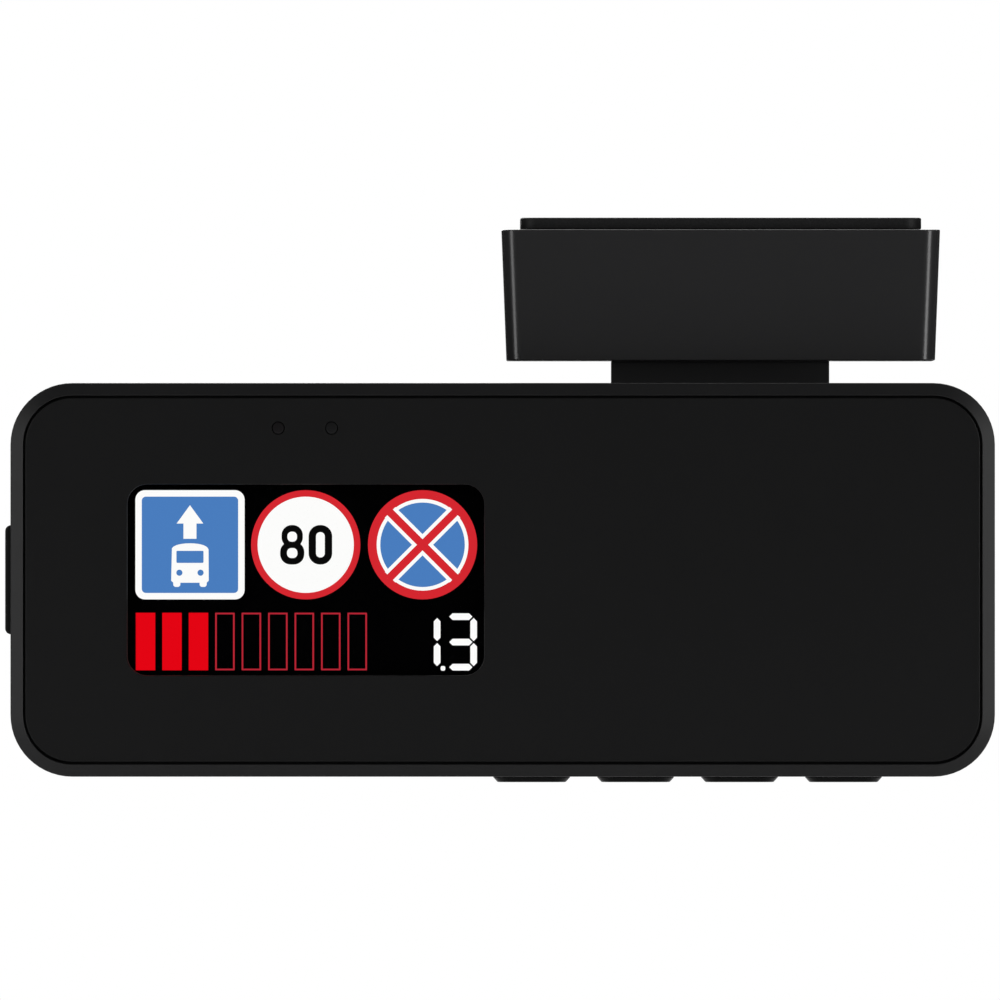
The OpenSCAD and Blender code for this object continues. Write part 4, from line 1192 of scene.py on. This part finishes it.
class DETECTOR_OT_keys(bpy.types.Operator):
    """Build the four keys under the unit"""

    bl_idname = "detector.keys"
    bl_label = "Keys"

    def execute(self, context):
        dome = sizes().key_dome
        for node, body in KEYS.items():
            key = Span(node)
            width, depth = key.size.x - 2 * KEY_FLANGE, key.size.y
            tip, shoulder = key.low.z, REAR.low.z
            top = shoulder + sizes().wall + 0.15
            centre = (key.mid.x, key.mid.y)
            profile = [(dome + 0.12, tip), (dome, tip + 0.03), (dome - 0.08, tip + 0.1)]
            profile += [(0.08, shoulder - 0.22), (0.02, shoulder - 0.16), (0, shoulder - 0.06), (0, top)]
            rings = []
            for inset, level in profile:
                outline = stadium(width - 2 * inset, depth - 2 * inset, centre, 14)
                rings.append([place(p, "z", level) for p in outline])
            flange = prism(round_outline(key.size.x, depth, 0.4, 4, centre), "z", top + 0.001, top + 1)
            nib = lathe([(0, top + 1.001), (1, top + 1.001), (1, key.high.z), (0, key.high.z)],
                        (centre[0], centre[1] - 0.15), "z", 24)
            obj = merged(f"{node}_cap", [loft(rings), flange, nib])
            finish(obj, material("keys"), body, "key_plastic", node)
        return {"FINISHED"}


class DETECTOR_OT_side_cover(bpy.types.Operator):
    """Build the rubber side cover, its fixed end and the service socket behind it"""

    bl_idname = "detector.side_cover"
    bl_label = "Side cover"

    def flap(self):
        """The cover: a long round-ended bar on the side, with a plug that fills the socket."""
        proud = REAR.low.x - COVER.low.x
        axis_z, top_z = COVER.low.z + proud, COVER.high.z - proud
        outline = []
        for centre_z, start in ((axis_z, 180), (top_z, 0)):
            for k in range(13):
                turn = math.radians(start + 180 * k / 12)
                outline.append((REAR.low.x + proud * math.cos(turn), centre_z + proud * math.sin(turn)))

        def ring(inset, depth):
            points = []
            for u, v in outline:
                core = Vector((REAR.low.x, min(max(v, axis_z), top_z)))
                out = Vector((u, v)) - core
                points.append(place(tuple(core + out * (1 - inset / proud)), "y", depth))
            return points

        profile = soft_ends(COVER.low.y, COVER.high.y, 0.35)
        plug_outline = round_outline(1.8, 7.4, 0.8, 5, (PORT.mid.y, PORT.mid.z))
        plug = prism(plug_outline, "x", REAR.low.x + proud * 0.6, COVER.high.x)
        obj = merged("side_cover_flap", [loft([ring(i, d) for i, d in profile]), plug])
        finish(obj, material("rubber"), "side_cover", "rubber_black", "port_cover")

    def tail(self):
        """The cover's fixed end: a small plate outside and a barbed stem through the wall."""
        centre = (TAIL.mid.y, TAIL.mid.z)
        start, end, inside = TAIL.low.x, TAIL.high.x, REAR.low.x + 2
        plate = soft_prism(
            TAIL.size.y, TAIL.size.z, 0.7, "x", start, start + 0.98, 0.2, centre, 6, (True, False)
        )
        profile = [(0, start + 0.985), (1, start + 0.985), (1, inside), (1.5, inside + 0.01)]
        profile += [(1.4, end), (0, end)]
        obj = merged("side_cover_tail", [plate, lathe(profile, centre, "x", 24)])
        finish(obj, material("rubber"), UNIT, "rubber_black", "port_cover_tail")

    def service_port(self):
        """The service socket: a metal shell, its tongue and the contacts on it."""
        centre = (PORT.mid.y, PORT.mid.z)
        mouth, end = PORT.low.x, PORT.high.x
        profile = [(0.0, end), (0.0, mouth + 0.05), (0.05, mouth), (0.25, mouth), (0.3, mouth + 0.08)]
        profile += [(0.3, end - 1.0), (0.3, end - 0.99)]
        rings = inset_rings(PORT.size.y, PORT.size.z, PORT.size.y / 2, "x", profile, centre)
        shell = to_object("service_port_shell", loft(rings))
        finish(shell, material("steel"), UNIT, "steel", "service_socket")
        tongue = to_object("service_port_tongue", soft_prism(
            0.7, 6.6, 0.2, "x", mouth + 2.0, end - 0.9, 0.15, centre, 4, (True, False)))
        finish(tongue, material("component"), UNIT, "component_black")
        contact = to_object("contact", prism(box_outline(-0.39, -0.12, 0.39, 0.12), "x", 0, 3.2))
        contacts = repeated("service_port_contacts", row_tree(), contact, {
            "Count": 12, "Start": Vector((mouth + 2.2, PORT.mid.y, PORT.mid.z - 2.75)) * MM,
            "Step": Vector((0, 0, 0.5 * MM)), "Chord radius": WIDE_ROW, "Material": material("gold"),
        })
        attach(contacts, UNIT)

    def execute(self, context):
        self.flap()
        self.tail()
        self.service_port()
        return {"FINISHED"}


class DETECTOR_OT_power_socket(bpy.types.Operator):
    """Build the power socket whose snout comes out through the top"""

    bl_idname = "detector.power_socket"
    bl_label = "Power socket"

    def execute(self, context):
        top = SOCKET.high.z
        body_top = top - sizes().wall
        centre = (SOCKET.mid.x, SOCKET.mid.y)
        floor = top - 7.5
        snout, bore = 3.2, 2.1
        case = soft_prism(
            SOCKET.size.x, SOCKET.size.y, 0.6, "z", SOCKET.low.z, floor - 0.01, 0.3, centre, 5, (True, False)
        )
        profile = [(snout, floor), (snout, top - 0.25), (3.12, top - 0.08), (2.95, top), (2.35, top)]
        profile += [(2.2, top - 0.1), (bore, top - 0.35), (bore, floor)]
        sleeve = lathe(profile, centre, "z")
        base = lathe(box_outline(0, floor - 0.005, snout, floor + 0.2), centre, "z")
        obj = merged("power_socket_body", [case, sleeve, base])
        finish(obj, material("component"), UNIT, "component_black", "power_socket")
        profile = [(0, floor + 0.21), (0.65, floor + 0.21), (0.65, top - 1.4), (0.55, top - 1.1)]
        profile += [(0.3, top - 0.95), (0, top - 0.9)]
        pin = to_object("power_socket_pin", lathe(profile, centre, "z", 32))
        finish(pin, material("steel"), UNIT, "steel")
        profile = [(2.09, floor + 0.5), (2.09, top - 1.2), (1.95, top - 1.2), (1.9, body_top - 1.0)]
        profile += [(1.95, floor + 0.5)]
        spring = to_object("power_socket_spring", lathe(profile, centre, "z", 40))
        finish(spring, material("steel"), UNIT, "steel")
        return {"FINISHED"}


class DETECTOR_OT_laser_and_speaker(bpy.types.Operator):
    """Build the laser lens and the loudspeaker behind the grille"""

    bl_idname = "detector.laser_and_speaker"
    bl_label = "Laser lens and loudspeaker"

    def laser_lens(self):
        """A shallow dome on a flange that bears on the wall from inside."""
        back, inside = LASER.high.y, REAR.high.y - 2.0
        rim = LASER.size.x / 2
        radius = rim - 1.1
        rise, cap = 0.8, math.radians(30)
        profile = [(0, back)]
        for degrees in range(3, 31, 3):
            turn = math.radians(degrees)
            across = radius * math.sin(turn) / math.sin(cap)
            profile.append((across, back - rise * (1 - math.cos(turn)) / (1 - math.cos(cap))))
        profile += [(radius + 0.02, back - 0.95), (radius + 0.02, inside), (rim, inside - 0.01)]
        profile += [(rim, LASER.low.y), (0, LASER.low.y)]
        lens = to_object("laser_lens_dome", lathe(profile, (LASER.mid.x, LASER.mid.z), "y", 64), 50)
        finish(lens, material("laser filter"), UNIT, "laser_filter", "laser_lens")

    def loudspeaker(self):
        """The cone with its dust cap, the rolled surround and the basket."""
        face, rear, r = SPEAKER.high.y, SPEAKER.low.y, SPEAKER.size.x / 2
        profile = [(0, face - 0.9), (1.2, face - 0.95), (2.2, face - 1.25), (2.6, face - 1.5)]
        profile += [(3.0, face - 1.55)]
        for t in (0.25, 0.5, 0.75, 1.0):
            profile.append((3.0 + 4.6 * t, face - 1.55 + 1.05 * t ** 0.8))
        for t in (0.15, 0.35, 0.5, 0.65, 0.85, 1.0):
            profile.append((7.6 + 1.5 * t, face - 0.5 + 0.42 * math.sin(math.pi * t)))
        profile += [(9.2, face - 0.1), (9.3, face), (r - 0.1, face), (r, face - 0.1), (r, face - 1.6)]
        profile += [(6.2, face - 2.4), (6, face - 2.6), (6, rear + 0.2), (5.8, rear), (0, rear)]
        body = to_object("loudspeaker_body", lathe(profile, (SPEAKER.mid.x, SPEAKER.mid.z), "y", 64), 40)
        finish(body, material("cone"), UNIT, "component_black", "speaker")

    def execute(self, context):
        self.laser_lens()
        self.loudspeaker()
        return {"FINISHED"}


class DETECTOR_OT_housing_screws(bpy.types.Operator):
    """Build the four cross-head housing screws at the bottom of their wells"""

    bl_idname = "detector.housing_screws"
    bl_label = "Housing screws"

    def execute(self, context):
        head, height, shank = SCREW_HEAD, SCREW_HEIGHT, 1.0
        seat = SCREWS.high.y - height
        reach = seat - SCREWS.low.y
        profile = [(0, height), (0.8, height - 0.04), (1.4, height - 0.2), (1.75, height - 0.55)]
        profile += [(head, height - 0.9), (head, 0.05), (head - 0.05, 0), (shank, 0)]
        profile += [(shank, -reach + 0.6), (shank - 0.5, -reach), (0, -reach)]
        screw = to_object("screw", lathe(profile, (0, 0), "y", 32), 40)
        for turn in (0, 90):
            bar = turned(box_outline(-1.1, -0.2, 1.1, 0.2), turn + 20, (0, 0))
            combine(screw, to_object("slot", prism(bar, "y", height - 0.75, height + 1)), "DIFFERENCE")
        screw.data.set_sharp_from_angle(angle=math.radians(35))
        places = corner_places()
        low, high = Vector(places[0]), Vector(places[-1])
        screws = repeated("housing_screw_set", corner_tree(), screw, {
            "Width": (high.x - low.x) * MM, "Height": (high.y - low.y) * MM,
            "Centre": Vector(((low.x + high.x) / 2, seat, (low.y + high.y) / 2)) * MM,
            "Material": material("dark steel"),
        })
        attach(screws, UNIT)
        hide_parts("housing_screws")
        return {"FINISHED"}


# ---- The bracket ----


class DETECTOR_OT_bracket(bpy.types.Operator):
    """Build the bracket's housing, neck and adhesive pad"""

    bl_idname = "detector.bracket"
    bl_label = "Bracket"

    def housing(self):
        """The block, open at the top down to the ledge that its plate lies on."""
        size = sizes()
        bottom, top = BLOCK.low.z, BLOCK.high.z
        width_top, width_bottom = BLOCK.size.x, 51.5
        corner, soft = size.bracket_corner, size.soft_edge / 2

        def outside(inset, height):
            """One ring of the block, which narrows towards its bottom."""
            share = (height - bottom) / (top - bottom)
            width = width_bottom + (width_top - width_bottom) * share - 2 * inset
            depth = BLOCK.size.y - (width_top - width_bottom) * (1 - share) - 2 * inset
            outline = round_outline(width, depth, max(corner - inset, 0.4), 10)
            return [place(p, "z", height) for p in outline]

        def inside(wall, radius, height):
            """One ring of the hollow, a wall in from the block's bottom outline."""
            outline = round_outline(width_bottom - 2 * wall, BLOCK.size.y - 2 * wall, radius, 10)
            return [place(p, "z", height) for p in outline]

        rim, wall = 1.2, 2.0
        ledge = PLATE.low.z
        rings = [outside(i, d) for i, d in soft_ends(bottom, top, soft)]
        rings += [inside(rim - 0.1, corner, top), inside(rim, corner, top - 0.1), inside(rim, corner, ledge)]
        rings += [inside(wall, corner / 2, ledge), inside(wall, corner / 2, bottom + wall)]
        obj = to_object("bracket_housing_shell", loft(rings), 28)
        finish(obj, material("bracket"), MOUNT, "black_plastic", "bracket_housing")

    def neck(self):
        """The flat neck with the hinge barrel at its foot."""
        half_t = 2.5
        barrel = NECK.mid.y - NECK.low.y
        join = math.degrees(math.asin(half_t / barrel))
        outline = []
        for k in range(37):
            turn = math.radians(90 + join + (360 - 2 * join) * k / 36)
            outline.append((barrel * math.cos(turn), AXIS_Z + barrel * math.sin(turn)))
        fillet = 0.8
        top = NECK.high.z
        outline += [(half_t, top - fillet), (half_t + 0.25, top - 0.25), (half_t + fillet, top),
                    (-half_t - fillet, top), (-half_t - 0.25, top - 0.25), (-half_t, top - fillet)]
        obj = to_object("bracket_neck_barrel", prism(outline, "x", NECK.low.x, NECK.high.x), 30)
        skin = skin_tree(obj)
        bore = circle_outline(PIN_BORE, (0, AXIS_Z), 32)
        cut(obj, [prism(bore, "x", NECK.low.x - PAST, NECK.high.x + PAST)])
        soften(obj, skin, 0.3, 3)
        # The neck's material is the housing black made lighter, as painted light for its shaded gap.
        finish(obj, material("neck"), MOUNT, "black_plastic", "bracket_neck")

    def pad(self):
        obj = to_object("foam_pad", soft_prism(
            PAD.size.x, PAD.size.y, 2.0, "z", PAD.low.z, PAD.high.z, 0.22, (PAD.mid.x, PAD.mid.y), 10))
        finish(obj, material("foam"), MOUNT, "pad_foam", "adhesive_pad")

    def execute(self, context):
        self.housing()
        self.neck()
        self.pad()
        return {"FINISHED"}


# ---- The CAD nodes that keep their shape ----

KEPT = {
    "bracket": ["bracket_plate"],
    "steel": ["plate_screws", "gps_board_screws", "neck_screws", "hinge_pins", "board_screws", "gps_shield",
              "processor_shield", "rf_shield", "backup_cell"],
    "washer": ["hinge_washers"],
    "board": ["gps_board", "main_board", "rf_board", "laser_sensor"],
    "ceramic": ["gps_antenna"],
    "black cable": ["upper_cable", "lower_cable"],
    "red wire": ["laser_wires", "speaker_wires"],
    "foam": ["horn_gasket", "speaker_gasket", "display_gasket", "panel_tape"],
    "cell glass": ["display_glass"],
    "light guide": ["display_backlight"],
    "ribbon": ["display_ribbon"],
    "component": ["board_chips", "button_switches", "rf_header"],
    "connector": ["board_connectors"],
    "cast": ["radar_horn"],
}


class DETECTOR_OT_inner_parts(bpy.types.Operator):
    """Give the CAD nodes that keep their shape their finishes"""

    bl_idname = "detector.inner_parts"
    bl_label = "Inner parts"

    def execute(self, context):
        for look, names in KEPT.items():
            for name in names:
                mesh = frame["nodes"][name].data
                mesh.materials.clear()
                mesh.materials.append(material(look))
        shown = {name for names in KEPT.values() for name in names}
        left = [n for n, o in frame["nodes"].items() if n not in shown and not o.hide_render]
        if left:
            raise RuntimeError(f"these nodes have neither a finish nor a piece: {left}")
        return {"FINISHED"}


# ---- The stage ----


def softbox(name, place_mm, aim_mm, width, height, power, colour=(1, 1, 1)):
    """A rectangular soft light aimed at a point."""
    light = bpy.data.lights.new(name, "AREA")
    light.shape = "RECTANGLE"
    light.size, light.size_y = width * MM, height * MM
    light.energy = power
    light.color = colour
    obj = bpy.data.objects.new(name, light)
    obj.location = Vector(place_mm) * MM
    obj.rotation_euler = (Vector(aim_mm) - Vector(place_mm)).to_track_quat("-Z", "Y").to_euler()
    bpy.context.scene.collection.objects.link(obj)


class DETECTOR_OT_stage(bpy.types.Operator):
    """Build the camera, the lights and the floor"""

    bl_idname = "detector.stage"
    bl_label = "Stage"

    def world(self):
        world = bpy.data.worlds.new("studio")
        world.use_nodes = True
        tree = world.node_tree
        shade = tree.nodes["Background"]
        shade.inputs["Color"].default_value = (1, 1, 1, 1)
        shade.inputs["Strength"].default_value = 0.035
        seen = tree.nodes.new("ShaderNodeBackground")
        seen.inputs["Color"].default_value = (1, 1, 1, 1)
        path = tree.nodes.new("ShaderNodeLightPath")
        mix = tree.nodes.new("ShaderNodeMixShader")
        tree.links.new(path.outputs["Is Camera Ray"], mix.inputs[0])
        tree.links.new(shade.outputs[0], mix.inputs[1])
        tree.links.new(seen.outputs[0], mix.inputs[2])
        tree.links.new(mix.outputs[0], tree.nodes["World Output"].inputs["Surface"])
        bpy.context.scene.world = world

    def camera(self, stage, middle):
        data = bpy.data.cameras.new("camera")
        data.lens = data.sensor_width * stage.view_distance / stage.frame_width
        data.clip_start, data.clip_end = 0.1, 20.0
        obj = bpy.data.objects.new("camera", data)
        back = FRONT.low.y - stage.view_distance
        obj.location = Vector((middle.x + stage.aim_right, back, middle.z + stage.aim_up)) * MM
        obj.rotation_euler = (math.pi / 2, 0, 0)
        bpy.context.scene.collection.objects.link(obj)
        bpy.context.scene.camera = obj

    def floor(self, stage, middle):
        bm = bmesh.new()
        bmesh.ops.create_circle(bm, cap_ends=True, segments=96, radius=420)
        bmesh.ops.translate(bm, vec=(middle.x, middle.y, 0), verts=bm.verts)
        obj = to_object("floor", bm)
        for v in obj.data.vertices:
            v.co.z += (FRONT.low.z - stage.floor_drop) * MM
        made = Finish("pale floor", Specular_IOR_Level=0.2)
        slow = made.noise(120.0, 2.0)
        made.set(Base_Color=made.blend(slow, (0.8, 0.8, 0.8), (0.84, 0.84, 0.84)), Roughness=slow * 0.1 + 0.6)
        clear = made.node("ShaderNodeBsdfTransparent")
        under = made.node("ShaderNodeNewGeometry", out="Backfacing")
        shown = made.node("ShaderNodeMixShader", Fac=under)
        for value, socket in ((Value(made.nodes, made.shader.outputs[0]), 1), (clear, 2)):
            connect(made.nodes, value, shown.socket.node.inputs[socket])
        connect(made.nodes, shown, made.nodes["Material Output"].inputs["Surface"])
        obj.data.materials.append(made.material)

    def execute(self, context):
        stage = context.scene.detector_stage
        middle = FRONT.mid
        self.world()
        self.camera(stage, middle)
        self.floor(stage, middle)
        aim = (middle.x, -10, middle.z + 10)
        softbox("left strip", (middle.x - 620, -560, middle.z + 30), aim, 240, 700, 1.75)
        softbox("right strip", (middle.x + 620, -560, middle.z + 30), aim, 240, 700, 2.45)
        softbox("overhead", (middle.x, 480, middle.z + 800), aim, 900, 900, 7.0)
        softbox("rear", (middle.x - 200, 900, middle.z + 350), aim, 700, 500, 6.0)
        context.scene.view_settings.view_transform = "Standard"
        return {"FINISHED"}


class DETECTOR_PT_panel(bpy.types.Panel):
    """Lists the steps that dress the detector"""

    bl_label = "Detector"
    bl_idname = "DETECTOR_PT_panel"
    bl_space_type = "VIEW_3D"
    bl_region_type = "UI"
    bl_category = "Detector"

    def draw(self, context):
        scene = context.scene
        for group in (scene.detector_sizes, scene.detector_colours, scene.detector_stage):
            box = self.layout.box()
            for name in group.bl_rna.properties.keys():
                if name not in {"rna_type", "name"}:
                    box.prop(group, name)
        for step in STEPS:
            self.layout.operator(step.bl_idname)


STEPS = (
    DETECTOR_OT_stage,
    DETECTOR_OT_front_frame,
    DETECTOR_OT_rear_housing,
    DETECTOR_OT_face,
    DETECTOR_OT_picture,
    DETECTOR_OT_keys,
    DETECTOR_OT_side_cover,
    DETECTOR_OT_power_socket,
    DETECTOR_OT_laser_and_speaker,
    DETECTOR_OT_housing_screws,
    DETECTOR_OT_bracket,
    DETECTOR_OT_inner_parts,
)
GROUPS = {
    "detector_sizes": DetectorSizes,
    "detector_colours": DetectorColours,
    "detector_stage": DetectorStage,
}


def register():
    for cls in (*GROUPS.values(), *STEPS, DETECTOR_PT_panel):
        bpy.utils.register_class(cls)
    for name, group in GROUPS.items():
        setattr(bpy.types.Scene, name, bpy.props.PointerProperty(type=group))


def unregister():
    for name in GROUPS:
        delattr(bpy.types.Scene, name)
    for cls in (DETECTOR_PT_panel, *reversed(STEPS), *reversed(GROUPS.values())):
        bpy.utils.unregister_class(cls)


def main():
    """Builds everything in order."""
    register()
    for step in STEPS:
        area, name = step.bl_idname.split(".")
        getattr(getattr(bpy.ops, area), name)()
    bpy.context.view_layer.update()


if __name__ == "__main__":
    main()
